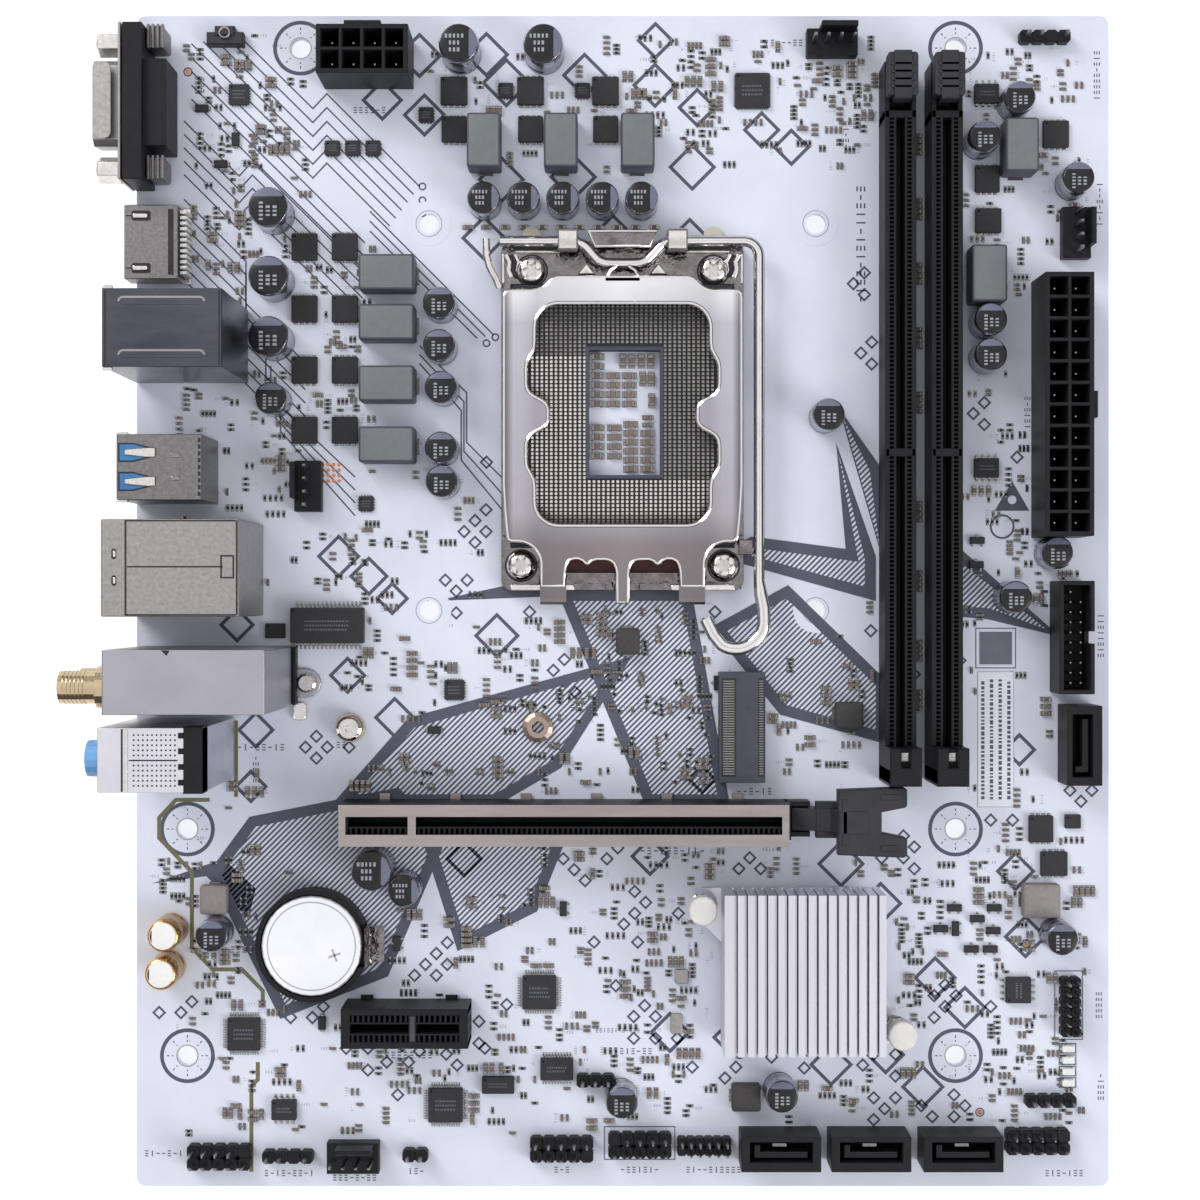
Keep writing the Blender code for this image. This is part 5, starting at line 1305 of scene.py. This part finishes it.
for side in (-1, 1):
    frame_shapes_and_highlights.add(extruded(over_wire, 3.4), SOCKET[0] + side * 10.9, SOCKET[1] + 34.6)
    washer = turned([(2.0, 0.0), (2.0, 0.8), (1.9, 0.9)], 24)
    into("socket_washers", CREAM).add(washer, SOCKET[0] + side * 18.3, SOCKET[1] + 36.3)
    shadows = into("socket_shadows", SEAM, 40)
    for u, v in ((18.2, 29.1), (20.3, -30.0)):
        shadows.add(tube(3.3, 3.0, 2.3, 2.42, 32, 0.03), SOCKET[0] + side * u, SOCKET[1] + v)
    # Painted highlights: thin bright lines along the frame's upper edges, with a dark line of painted shade
    # beside the first.
    frame_shapes_and_highlights.add(soft_block(9.0, 0.5, 2.3, 2.9, 0.2, 0.1), SOCKET[0] + side * 17.0, SOCKET[1] + 32.9)
    frame_shapes_and_highlights.add(soft_block(0.5, 6.0, 2.3, 2.9, 0.2, 0.1), SOCKET[0] + side * 23.9, SOCKET[1] + 29.5)
    shadows.add(block(9.4, 0.7, 2.3, 2.42, 0.03), SOCKET[0] + side * 17.0, SOCKET[1] + 33.7)
    # Along each ear: two bright bands of painted highlight with a dark band of painted shade between them.
    for shift, radius, shape in ((0.0, 0.55, frame_shapes_and_highlights), (1.0, 0.4, shadows), (1.8, 0.4, frame_shapes_and_highlights)):
        ear = [(SOCKET[0] + side * (u - shift), SOCKET[1] + v, z) for u, v, z in EAR]
        shape.add(swept(ear, radius, 10, [(1.0, 0.6)] * len(ear)))
stub = [(SOCKET[0] + u, SOCKET[1] + v, z) for u, v, z in STUB]
frame_shapes_and_highlights.add(swept(stub, 0.75, 10, [(1.0, 0.6)] * len(stub)))
piece("socket_frame_shapes_and_highlights", frame_shapes_and_highlights, BRIGHT, "board", smooth=45)

# ---------------------------------------------------------------- memory sockets


def ribs(shape, x0, x1, y, inner, outer, low, high, pitch, share=0.5):
    """Bars between the contact cells on one side of a slot that runs along X."""
    count = int((x1 - x0) / pitch)
    for i in range(count):
        x = x0 + (i + 0.5) * (x1 - x0) / count
        shape.add(block(pitch * share, abs(outer - inner), low, high, 0.06), x, y + (inner + outer) / 2)


MEMORY_LOW, MEMORY_HIGH, MEMORY_TOP = 89.4, 214.8, 9.0
MEMORY_KEY = 147.3
TOWER_Y, TOWER_TOP = 83.8, 16.0
LATCH_SEAT_Y = 219.5


def memory_socket(name, letter):
    """Two rails along Y with bars between the contact cells, a key, a fixed tower and a latch seat."""
    x0, _, _, x1, _, _ = span(name)
    cx = (x0 + x1) / 2
    half = (x1 - x0) / 2
    low, high, top, key = MEMORY_LOW, MEMORY_HIGH, MEMORY_TOP, MEMORY_KEY
    shape = Shape()
    rail = 0.95
    length = high - low
    cy = (low + high) / 2
    for side in (-1, 1):
        shape.add(soft_block(rail, length, 0.3, top, 0.2, 0.15), cx + side * (half - rail / 2), cy)
        shape.add(block(0.5, length, 0.3, top - 0.1, 0.08), cx + side * 1.1, cy)
    shape.add(block(2 * half - 0.4, length, 0.3, 2.9, 0.1), cx, cy)
    shape.add(block(2 * half - 0.3, 1.6, 0.3, top, 0.12), cx, key)
    shape.add(block(2 * half, 1.5, 0.3, top, 0.12), cx, high - 0.75)
    turned_ribs = Shape()
    for side in (-1, 1):
        for a, b in ((low + 0.6, key - 1.0), (key + 1.0, high - 1.6)):
            ribs(turned_ribs, a, b, 0, side * 1.2, side * (half - rail + 0.1), 2.8, top - 0.12, 0.85, 0.42)
    shape.add((turned_ribs.points, turned_ribs.faces), cx, 0, 0, 90)
    shape.add(soft_block(2 * half, 3.6, 0.3, TOWER_TOP, 0.5, 0.4), cx, TOWER_Y)
    shape.add(block(2 * half - 0.3, 7.0, 0.3, TOWER_TOP - 2.4, 0.2), cx, TOWER_Y + 1.8)
    for side in (-1, 1):
        shape.add(block(2.2, 7.4, 0.3, TOWER_TOP - 0.1, 0.2), cx + side * (half - 1.1), TOWER_Y + 1.9)
        shape.add(block(1.0, 10.0, 0.3, 8.6, 0.15), cx + side * (half - 0.5), LATCH_SEAT_Y)
    shape.add(block(2 * half - 0.4, 9.0, 0.3, 0.9, 0.1), cx, LATCH_SEAT_Y)
    piece(f"memory_socket_{letter}", shape, BLACK, "board", replaces=(name,))
    into("socket_notches", CERAMIC).add(block(1.5, 1.6, 13.5, 14.2, 0.2), cx, 87.6)


def memory_latch(name, letter):
    """A latch's bent arm with its ribbed thumb pad."""
    x0, _, _, x1, _, _ = span(name)
    cx = (x0 + x1) / 2
    side_view = [(217.0, 0.9), (223.4, 0.9), (224.4, 1.6), (225.0, 9.0), (225.8, 9.2), (225.8, 12.3),
                 (225.5, 12.6), (216.5, 12.6), (216.2, 12.3), (216.2, 9.3), (217.8, 9.3), (217.8, 3.4),
                 (217.0, 3.0)]
    shape = Shape().add(extruded(side_view, 3.4), cx)
    shape.add(soft_block(6.0, 8.6, 9.2, 12.3, 0.6, 0.3), cx, 221.2)
    for i in range(4):
        shape.add(soft_block(4.6, 0.7, 12.2, 12.6, 0.2, 0.15), cx, 218.6 + 1.5 * i)
    piece(f"memory_latch_pad_{letter}", shape, DARK, f"memory_latch_{letter}",
          replaces=(name,), bevel=0.1)


for letter in "ab":
    memory_socket(f"dimm_slot_{letter}", letter)
    memory_latch(f"dimm_latch_{letter}", letter)

# ---------------------------------------------------------------- card slots


KEY_X = 56.55
KEY_LOW, KEY_HIGH = 55.8, 57.3
LONG_SLOT_END = 130.9


def card_slot(name, title, half, rail):
    """A slot along X: rails, bars between the contact cells, a key and closed ends."""
    x0, y0, _, x1, y1, top = span(name)
    cy = (y0 + y1) / 2
    x1 = min(x1, LONG_SLOT_END)
    shape = Shape()
    length = x1 - x0
    for side in (-1, 1):
        shape.add(block(length, rail, 0.3, top, 0.15), (x0 + x1) / 2, cy + side * (half - rail / 2))
        shape.add(block(length, 0.35, 0.3, top - 0.1, 0.06), (x0 + x1) / 2, cy + side * 1.1)
    shape.add(block(length, 2 * half - 0.2, 0.3, 2.9, 0.1), (x0 + x1) / 2, cy)
    for x, width in ((x0 + 0.9, 1.8), (x1 - 0.9, 1.8), (KEY_X, 1.5)):
        shape.add(block(width, 2 * half - 0.1, 0.3, top - 0.02, 0.12), x, cy)
    for side in (-1, 1):
        for a, b in ((x0 + 1.8, KEY_LOW), (KEY_HIGH, x1 - 1.8)):
            ribs(shape, a, b, cy, side * 1.2, side * (half - rail + 0.1), 2.8, top - 0.12, 1.0, 0.45)
    if name == "pcie_x16_slot":
        for side in (-1, 1):
            shape.add(block(5.0, 1.0, 0.3, 5.4, 0.15), LONG_SLOT_END + 1.8, cy + side * 3.0)
    if name == "pcie_x1_slot":
        key = block(1.1, 2 * half - 2 * rail - 0.2, top - 0.4, top + 0.03, 0.1)
        into("slot_keys", SOCKET_GREY).add(key, KEY_X, cy)
        for side in (-1, 1):
            for x in (x0 + 4.0, x1 - 4.0):
                shape.add(block(2.4, 1.0, 0.3, 1.1, 0.1), x, cy + side * (half + 0.3))
    piece(title, shape, BLACK, "board", replaces=(name,))


card_slot("pcie_x16_slot", "long_card_slot", 3.5, 1.0)
card_slot("pcie_x1_slot", "short_card_slot", 3.9, 1.3)



def rectangle(x0, y0, x1, y1):
    return [(x0, y0), (x1, y0), (x1, y1), (x0, y1)]


shield = Shape()
x0, y0, _, x1, y1, top = span("pcie_x16_shield")
cy = (y0 + y1) / 2
openings = [rectangle(x0 + 1.4, cy - 1.75, KEY_LOW - 0.1, cy + 1.75),
            rectangle(KEY_HIGH, cy - 1.75, x1 - 1.4, cy + 1.75)]
shield.add(panel(rectangle(x0, cy - 4.1, x1, cy + 4.1), openings, top - 0.3, top))
for side in (-1, 1):
    shield.add(block(x1 - x0, 0.3, 0.3, top - 0.1, 0.05), (x0 + x1) / 2, cy + side * 3.95)
    for i in range(6):
        shield.add(block(2.2, 1.3, 0.4, 0.75, 0.08), x0 + 8 + i * 14.2, cy + side * 4.7)
piece("card_slot_shield", shield, SLOT_STEEL, "board", replaces=("pcie_x16_shield",), bevel=0.22)


def card_latch():
    """The long slot's end latch: an arm, a wide head with two grips and a ridge."""
    pivot_y = middle("pcie_x16_latch")[1]
    profile = [(131.6, 1.4), (135.0, 1.2), (141.0, 3.4), (141.0, 7.6), (146.0, 8.6), (146.0, 12.0),
               (140.4, 12.0), (139.0, 7.6), (131.6, 5.2)]
    points, faces = extruded(profile, 4.4)
    shape = Shape().add(([(y, pivot_y + x, z) for x, y, z in points], faces))
    half = [(140.0, 6.4), (153.0, 6.9), (153.6, 6.4), (153.6, 3.4), (153.2, 2.9), (148.6, 2.0)]
    head = [(x, -y) for x, y in half] + half[::-1]
    shape.add(raised([(x, pivot_y + y) for x, y in head], 8.8, 11.8, 0.25))
    shape.add(block(4.6, 7.2, 4.6, 7.0, 0.2), 138.5, pivot_y)
    shape.add(block(1.0, 9.0, 11.6, 12.0, 0.1), 141.4, pivot_y)
    for side in (-1, 1):
        shape.add(block(3.4, 1.2, 11.6, 12.0, 0.15), 150.0, pivot_y + side * 5.0)
    piece("card_latch_arm", shape, DARK, "card_latch", replaces=("pcie_x16_latch",),
          bevel=0.12)


card_latch()

# ---------------------------------------------------------------- connectors with pins in them

POWER_PITCH = 4.2
for x, y, columns, rows in ((46.9, 225.9, 4, 2), (185.1, 156.5, 2, 12)):
    for u in spaced(columns, POWER_PITCH):
        for v in spaced(rows, POWER_PITCH):
            into("power_pins", SOLDER).add(block(0.8, 0.8, 2.9, 9.0, 0.25), x + u, y + v)
fine_pins = into("header_pins", PIN_STEEL)
x, y = middle("usb3_header")
for column in (-1, 1):
    for i, v in enumerate(spaced(10, 2.0)):
        if (column, i) != (1, 9):
            pin(fine_pins, x + column, y + v, 1.9, 7.6, 0.62)

FAN_PINS = spaced(4, 2.54)
RIGHT_FAN, LOWER_FAN = (188.9, 191.8), (43.9, 6.4)
fans = into("fan_headers", BLACK)
fans.add(block(5.6, 10.2, 0.2, 3.2, 0.2), *RIGHT_FAN)
fans.add(block(1.0, 7.2, 0.2, 8.2, 0.2), RIGHT_FAN[0] + 2.2, RIGHT_FAN[1] + 0.6)
fans.add(block(10.4, 6.2, 0.2, 3.2, 0.2), *LOWER_FAN)
fans.add(block(7.2, 1.0, 0.2, 8.2, 0.2), LOWER_FAN[0] + 0.6, LOWER_FAN[1] + 2.4)
for offset in FAN_PINS:
    for x, y in ((139.9 + offset, 229.9), (34.9, 141.0 + offset), (RIGHT_FAN[0] - 0.3, RIGHT_FAN[1] + offset),
                 (LOWER_FAN[0] + offset, LOWER_FAN[1] - 0.3)):
        pin(fine_pins, x, y, 3.0, 9.5)

CORNER_PART = (18.2, 230.8)
corner_part = into("top_left_part", DARK)
corner_part.add(block(7.4, 2.6, 0.2, 2.6, 0.3), *CORNER_PART)
corner_part.add(block(4.0, 2.0, 0.2, 3.0, 0.3), CORNER_PART[0], CORNER_PART[1] + 1.4)
into("top_left_steel", TIN).add(tube(1.2, 0.8, 2.5, 3.2, 16, 0.1), CORNER_PART[0], CORNER_PART[1] + 1.0)
for y in (20.9, 23.2, 25.5, 27.8):
    into("led_lenses", LED).add(soft_block(2.5, 1.4, 0.1, 0.9, 0.25, 0.2), 187.7, y)
    outline_print(187.7, y, 3.3, 1.9)

# ---------------------------------------------------------------- details on the rear ports

RISE = 0.06  # how far a dark line stands up from the steel that it is drawn on


def port(name):
    x0, y0, _, x1, y1, top = span(name)
    return x0, y0, x1, y1, top, (y0 + y1) / 2


def seam(x, y, width, depth, z, rise=RISE, name="port_seams"):
    """A dark line on a port's top, in place of a gap between two sheets."""
    into(name, SEAM).add(block(width, depth, z, z + rise, 0.02), x, y)


def spring(x, y, width, depth, low, high, radius, chamfer=0.1):
    """A bright tab or spring finger."""
    into("port_springs", BRIGHT).add(soft_block(width, depth, low, high, radius, chamfer), x, y)


def edged(name, finish, outline, low, rim_finish, width=0.35):
    """A flat area with a border round it, each its own gathered piece."""
    high = low + RISE
    into(name, finish).add(raised(outline, low, high, 0.04))
    rim = panel(inset(outline, -width), [outline], low, high + 0.06)
    into(f"{name.removesuffix('s')}_rims", rim_finish).add(rim)


def shifted(outline, x, y):
    return [(x + u, y + v) for u, v in outline]


def sideways(profile, x, y, z, sides):
    """A turned solid along X, from (radius, distance) pairs, about an axis at height z."""
    return stack([[(x + along, y + u, z + v) for u, v in circle(reach, sides)] for reach, along in profile])


x0, y0, x1, y1, top, middle_y = port("hdmi_shell")
for y in (y1 - 2.2, y0 + 2.2):
    slot = shifted(rounded_outline(3.8, 2.0, 0.4, 4), x0 + 3.4, y)
    into("port_gaps", SEAM).add(raised(slot, top, top + 0.05, 0.01))
    spring(x0 + 3.2, y, 3.0, 0.9, top, top + 0.3, 0.3, 0.12)
    seam(x0 + 0.9, y, 1.2, 0.25, top, 0.05)
seam(x1 - 1.4, middle_y, 1.1, 13.0, top, 0.05, "port_gaps")
for i in range(12):
    into("port_ivory", IVORY).add(block(1.4, 0.62, 0.3, top - 0.8, 0.1), x1 + 0.9, y0 + 1.4 + 1.1 * i)
for y in (y0 + 0.5, y1 - 0.5):
    spring(x1 + 0.6, y, 1.6, 1.4, 0.1, 0.9, 0.3)

x0, y0, x1, y1, top, middle_y = port("ps2_usb_shell")
for y in (y1 - 2.5, y0 + 2.3):
    # The grooves keep the shell's dull steel; their bright rims are painted highlights on the ridges.
    groove = shifted(rounded_outline(15.6, 1.2, 0.6, 6), x0 + 11.2, y)
    edged("port_grooves", DULL_TIN, groove, top, TIN, 0.4)
for x in (x0 + 0.6, x1 - 0.5):
    seam(x, middle_y, 0.3, y1 - y0 - 0.8, top)
for y in (y0 - 0.3, y1 + 0.3):
    spring(x0 + 0.9, y, 1.8, 0.7, top - 1.2, top - 0.6, 0.2)

x0, y0, x1, y1, top, middle_y = port("usb3_shell")
FUNNEL = [(0.6, -1.6), (3.2, -1.6), (6.2, -0.85), (6.2, 0.85), (3.2, 1.6), (0.6, 1.6)]
TONGUE = [(1.6, -0.5), (6.2, -0.95), (7.6, -0.9), (7.6, 0.9), (6.2, 0.95), (1.6, 0.5)]
for y, away in ((y1 - 3.6, 1), (y0 + 3.6, -1)):
    edged("port_blue", BLUE, shifted(FUNNEL, x0, y), top, SEAM, 0.25)
    into("port_springs", BRIGHT).add(raised(shifted(TONGUE, x0, y), top + 0.05, top + 0.35, 0.12))
    dimple = soft_block(1.8, 0.8, top, top + 0.2, 0.3, 0.1)
    into("port_dimples", SOLDER).add(dimple, x0 + 11.4, y - 0.6 * away)
    spring(x0 + 1.0, y + away * 3.75, 2.2, 0.5, top - 1.4, top - 0.4, 0.2)
for i in range(9):
    seam(x1 - 0.5, y0 + 1.2 + 1.3 * i, 0.5, 0.8, top)

x0, y0, x1, y1, top, middle_y = port("lan_usb_shell")
seam(x0 + 4.7, middle_y, 0.35, y1 - y0 - 0.6, top)
seam(x0 + 14.0, middle_y + 0.2, 18.0, 0.28, top)
seam(x1 - 0.4, middle_y, 0.35, y1 - y0 - 0.6, top)
for y in (y0 + 0.35, y1 - 0.35):
    seam(x0 + 15.0, y, x1 - x0 - 5.2, 0.3, top)
lock = panel(box_outline(2.6, 4.4), [box_outline(2.0, 3.8)], top, top + RISE)
into("port_seams", SEAM).add(lock, x1 - 2.2, middle_y + 0.2)
for y in (middle_y + 2.6, middle_y - 2.4):
    into("port_gaps", SEAM).add(soft_block(0.9, 2.0, top, top + 0.07, 0.4, 0.02), x0 + 2.5, y)
    spring(x0 + 2.6, y, 0.5, 1.2, top, top + 0.2, 0.2, 0.05)

into("port_gaps", SEAM).add(panel([(12.6, 108.9), (14.2, 108.9), (13.6, 107.9)], [], 34.9, 35.06))
into("port_blacks", BLACK).add(block(0.6, 11.6, 0.3, 3.4, 0.1), 32.2, 103.0)
spring(33.0, 95.8, 2.6, 3.6, 0.3, 1.2, 0.8, 0.2)

x0, y0, x1, y1, top, middle_y = port("audio_housing")
seam(x0 + 4.6, middle_y, 0.35, y1 - y0 - 0.4, top)
into("port_springs", BRIGHT).add(block(0.7, y1 - y0 - 0.6, top, top + 0.1, 0.04), x0 + 5.4, middle_y)
seam(x0 + 10.4, middle_y, 9.0, 0.25, top)
into("port_blacks", BLACK).add(block(3.6, y1 - y0 + 0.4, top - 5.0, top + 0.12, 0.2), x1 - 1.8, middle_y)
for i in range(4):
    into("port_blacks", BLACK).add(block(1.0, 1.1, top - 5.0, top + 0.1, 0.1), x1 - 4.0, y0 + 1.9 + 2.9 * i)
for i in range(10):
    for j in range(11):
        seam(x0 + 6.8 + 0.85 * i, y0 + 1.3 + 0.94 * j, 0.32, 0.32, top, 0.05, "port_dots")

vga_top = port("vga_shell")[4]
VGA_Y = 215.9
shell_panel = soft_block(3.4, 15.0, vga_top - 0.05, vga_top + 0.12, 1.2, 0.06)
into("port_panels", WARM_TIN).add(shell_panel, -3.9, VGA_Y)
clip = into("vga_clips", GREY_TIN)
for y in (229.4, 203.6):
    clip.add(soft_block(3.6, 4.4, 2.0, 8.6, 0.6, 0.3), 5.6, y)
    for i in range(4):
        clip.add(soft_block(0.6, 4.8, 8.5, 9.2, 0.2, 0.15), 4.3 + 0.95 * i, y)
for y in (203.4, 228.4):
    stud = sideways(((1.2, -6.2), (2.2, -6.0), (2.35, -5.6), (2.35, -1.4)), 0, y, 6.4, 20)
    into("port_studs", BRIGHT, 40).add(stud)
ANTENNA_Y, ANTENNA_HEIGHTS = 101.8, (12.0, 27.0)
THREAD = ((2.75, -7.3), (3.15, -7.1), (3.15, -6.9), (2.75, -6.7))
for z in ANTENNA_HEIGHTS:
    for i in range(6):
        into("antenna_threads", BRASS, 40).add(sideways(THREAD, 0.75 * i, ANTENNA_Y, z, 28))

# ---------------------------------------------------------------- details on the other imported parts

x0, y0, x1, y1 = 117.6, 29.4, 149.0, 60.8  # the finned square, without its corner ears
GAPS = 16
for i in range(1, GAPS):
    gap = block(0.36, y1 - y0 - 0.4, 4.5, 13.4, 0.05)
    into("heatsink_gaps", ALUMINIUM).add(gap, x0 + (i + 0.16) * (x1 - x0) / GAPS, (y0 + y1) / 2)
for number in (1, 2, 3):
    x0, _, x1, _, top, middle_y = port(f"sata_connector_{number}")
    lock = soft_block(2.8, 0.7, top - 1.0, top - 0.1, 0.2, 0.1)
    into("sata_locks", GREY_TIN).add(lock, (x0 + x1) / 2 - 0.4, middle_y + 1.9)
x0, y0, x1, y1, top, middle_y = port("m2_socket")
for x, width, contact, depth in ((x0 + 1.9, 2.9, 2.3, 0.26), (x1 - 0.8, 1.3, 0.9, 0.24)):
    seam(x, middle_y, width, y1 - y0 - 2.4, top, 0.04)
    for v in spaced(38, 0.5):
        into("m2_contacts", PIN_STEEL).add(block(contact, depth, top, top + 0.08, 0.03), x, middle_y + v)
x, y = middle("front_panel_header")
header(x, y, 5, 2, missing=((4, 1),), base=2.86)
piece("front_panel_base", Shape().add(block(12.2, 4.8, 0.3, 2.2, 0.1), x, y), BLACK, "board",
      replaces=("front_panel_header",))
x, y = middle("coin_cell")
cell_print = Shape().add(tube(8.9, 8.65, 4.88, 4.93, 64, 0.01), x, y)
for turn in (20, 110):
    cell_print.add(block(2.6, 0.4, 4.88, 4.94, 0.02), x + 4.6, y - 1.8, 0, turn)
piece("cell_marks", cell_print, CELL_GROOVE, "cell")

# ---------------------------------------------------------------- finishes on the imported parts

# A finish, how far the edges are rounded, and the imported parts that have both. The parts in the last rows
# are replaced by finer pieces above.
FINISHES = (
    (BOARD, 0.0, "circuit_board"),
    (DARK, 0.2, "socket_body"),
    (FILM, 0.0, "insulating_film"),
    (SHADED, 0.3, "ilm_frame"),
    (SHADED, 0.06, "battery_clip"),
    (STEEL_DARK, 0.25, "socket_backplate"),
    (SOCKET_GREY, 0.15, "m2_socket"),
    (BRASS, 0.08, "m2_standoff"),
    (BRASS, 0.1, "antenna_jack_lower", "antenna_jack_upper"),
    (BRIGHT, 0.08, "m2_screw", "wifi_screw"),
    (BRIGHT, 0.3, "vga_jack_nut_1", "vga_jack_nut_2"),
    (BRIGHT, 0.0, "push_pin_spring_1", "push_pin_spring_2"),
    (NUT_RING, 0.08, "m2_nut"),
    (TIN, 0.2, "vga_shell"),
    (GREY_TIN, 0.25, "hdmi_shell", "usb3_shell"),
    (DULL_TIN, 0.3, "ps2_usb_shell"),
    (WARM_TIN, 0.3, "lan_usb_shell"),
    (CAN_STEEL, 0.3, "wifi_shield"),
    (AUDIO_STEEL, 0.25, "audio_housing"),
    (BLUE, 0.1, "usb3_insert"),
    (PINK, 0.2, "audio_barrel_pink"),
    (GREEN, 0.2, "audio_barrel_green"),
    (PALE_BLUE, 0.2, "audio_barrel_blue"),
    (CARD, 0.1, "wifi_card"),
    (CELL, 0.12, "coin_cell"),
    (PACKAGE, 0.15, "chipset_package"),
    (ALUMINIUM, 0.12, "chipset_heatsink"),
    (IVORY, 0.15, "push_pin_1", "push_pin_2"),
    (BLACK, 0.25, "vga_housing"),
    (BLACK, 0.2, "usb3_header", "battery_holder"),
    (BLACK, 0.15, "eps_connector", "atx_connector", "pump_fan_header", "cpu_fan_header"),
    (BLACK, 0.15, "sata_connector_1", "sata_connector_2", "sata_connector_3", "sata_connector_4"),
    (WIRE, 0.0, "load_plate", "lever"),
    (BRIGHT, 0.0, "ilm_screw_1", "ilm_screw_2", "ilm_screw_3", "ilm_screw_4"),
    (TIN, 0.0, "pcie_x16_shield"),
    (DARK, 0.0, "dimm_latch_a", "dimm_latch_b", "pcie_x16_latch"),
    (BLACK, 0.0, "dimm_slot_a", "dimm_slot_b", "pcie_x16_slot", "pcie_x1_slot", "front_panel_header"),
)
for finish, width, *names in FINISHES:
    for name in names:
        obj = frame["nodes"][name]
        obj.data.materials.clear()
        obj.data.materials.append(finish)
        if width:
            if "custom_normal" in obj.data.attributes:
                obj.data.attributes.remove(obj.data.attributes["custom_normal"])
            round_edges(obj, width)

for name, (shape, finish, smooth) in gathered.items():
    piece(name, shape, finish, smooth=smooth)


# ---------------------------------------------------------------- floor, light and camera

FLOOR_SIZE = 1600
FLOOR_TOP = -3.65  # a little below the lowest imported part
FLOOR_GLOW = 0.55
BOARD_MIDDLE = (94, 118)


def stage_floor():
    slab = Shape().add(block(FLOOR_SIZE, FLOOR_SIZE, -8, FLOOR_TOP, 0.5), *BOARD_MIDDLE)
    white = look("floor_white", (205, 205, 205), 0.9, spread=0.005, size=60.0, grain=5.0, bump=0.0)
    glow = white.node_tree.nodes["Principled BSDF"].inputs
    glow["Emission Color"].default_value = (1.0, 1.0, 1.0, 1.0)
    glow["Emission Strength"].default_value = FLOOR_GLOW
    linked("floor", mesh_of("floor", slab, white))


def area_light(name, where, size, power):
    """A rectangle of light that faces the middle of the frame."""
    light = bpy.data.lights.new(name, "AREA")
    light.shape = "RECTANGLE"
    light.size, light.size_y = size
    light.energy = power
    obj = linked(name, light)
    obj.location = where
    obj.rotation_euler = (-Vector(where)).to_track_quat("-Z", "Y").to_euler()


def studio_world(steps, strength):
    """A soft room whose brightness depends on the height above the horizon, 0 to 1."""
    world = bpy.data.worlds.new("studio")
    world.use_nodes = True
    tree = world.node_tree
    background = tree.nodes["Background"]
    coordinates = node(tree, "ShaderNodeTexCoord")
    split = node(tree, "ShaderNodeSeparateXYZ")
    ramp = node(tree, "ShaderNodeValToRGB")
    ramp_steps(ramp, [(height, (grey, grey, grey * 1.01)) for height, grey in steps])
    tree.links.new(coordinates.outputs["Generated"], split.inputs["Vector"])
    tree.links.new(split.outputs["Z"], ramp.inputs["Fac"])
    tree.links.new(ramp.outputs["Color"], background.inputs["Color"])
    background.inputs["Strength"].default_value = strength
    bpy.context.scene.world = world


def camera_above(x, y, distance, lens):
    camera = bpy.data.cameras.new("camera")
    camera.lens = lens
    camera.sensor_width = 36
    camera.clip_start, camera.clip_end = 0.02, 5
    obj = linked("camera", camera)
    obj.location = place(x, y, distance)
    bpy.context.scene.camera = obj


ROOM_STEPS = ((0.0, 0.05), (0.42, 0.09), (0.6, 0.52), (0.8, 1.0), (0.965, 1.0), (0.997, 0.72))
CAMERA_HEIGHT = 400  # from the board's face, as the lean of the tall parts in the photograph shows
CAMERA_LENS = 59.5
stage_floor()
studio_world(ROOM_STEPS, 1.06)
area_light("key", (-0.75, 0.8, 0.7), (0.6, 0.6), 10.0)
area_light("fill", (0.9, -0.5, 0.6), (0.6, 0.5), 7.5)
camera_above(93.4, 118.2, CAMERA_HEIGHT, CAMERA_LENS)
bpy.context.scene.view_settings.view_transform = "Standard"
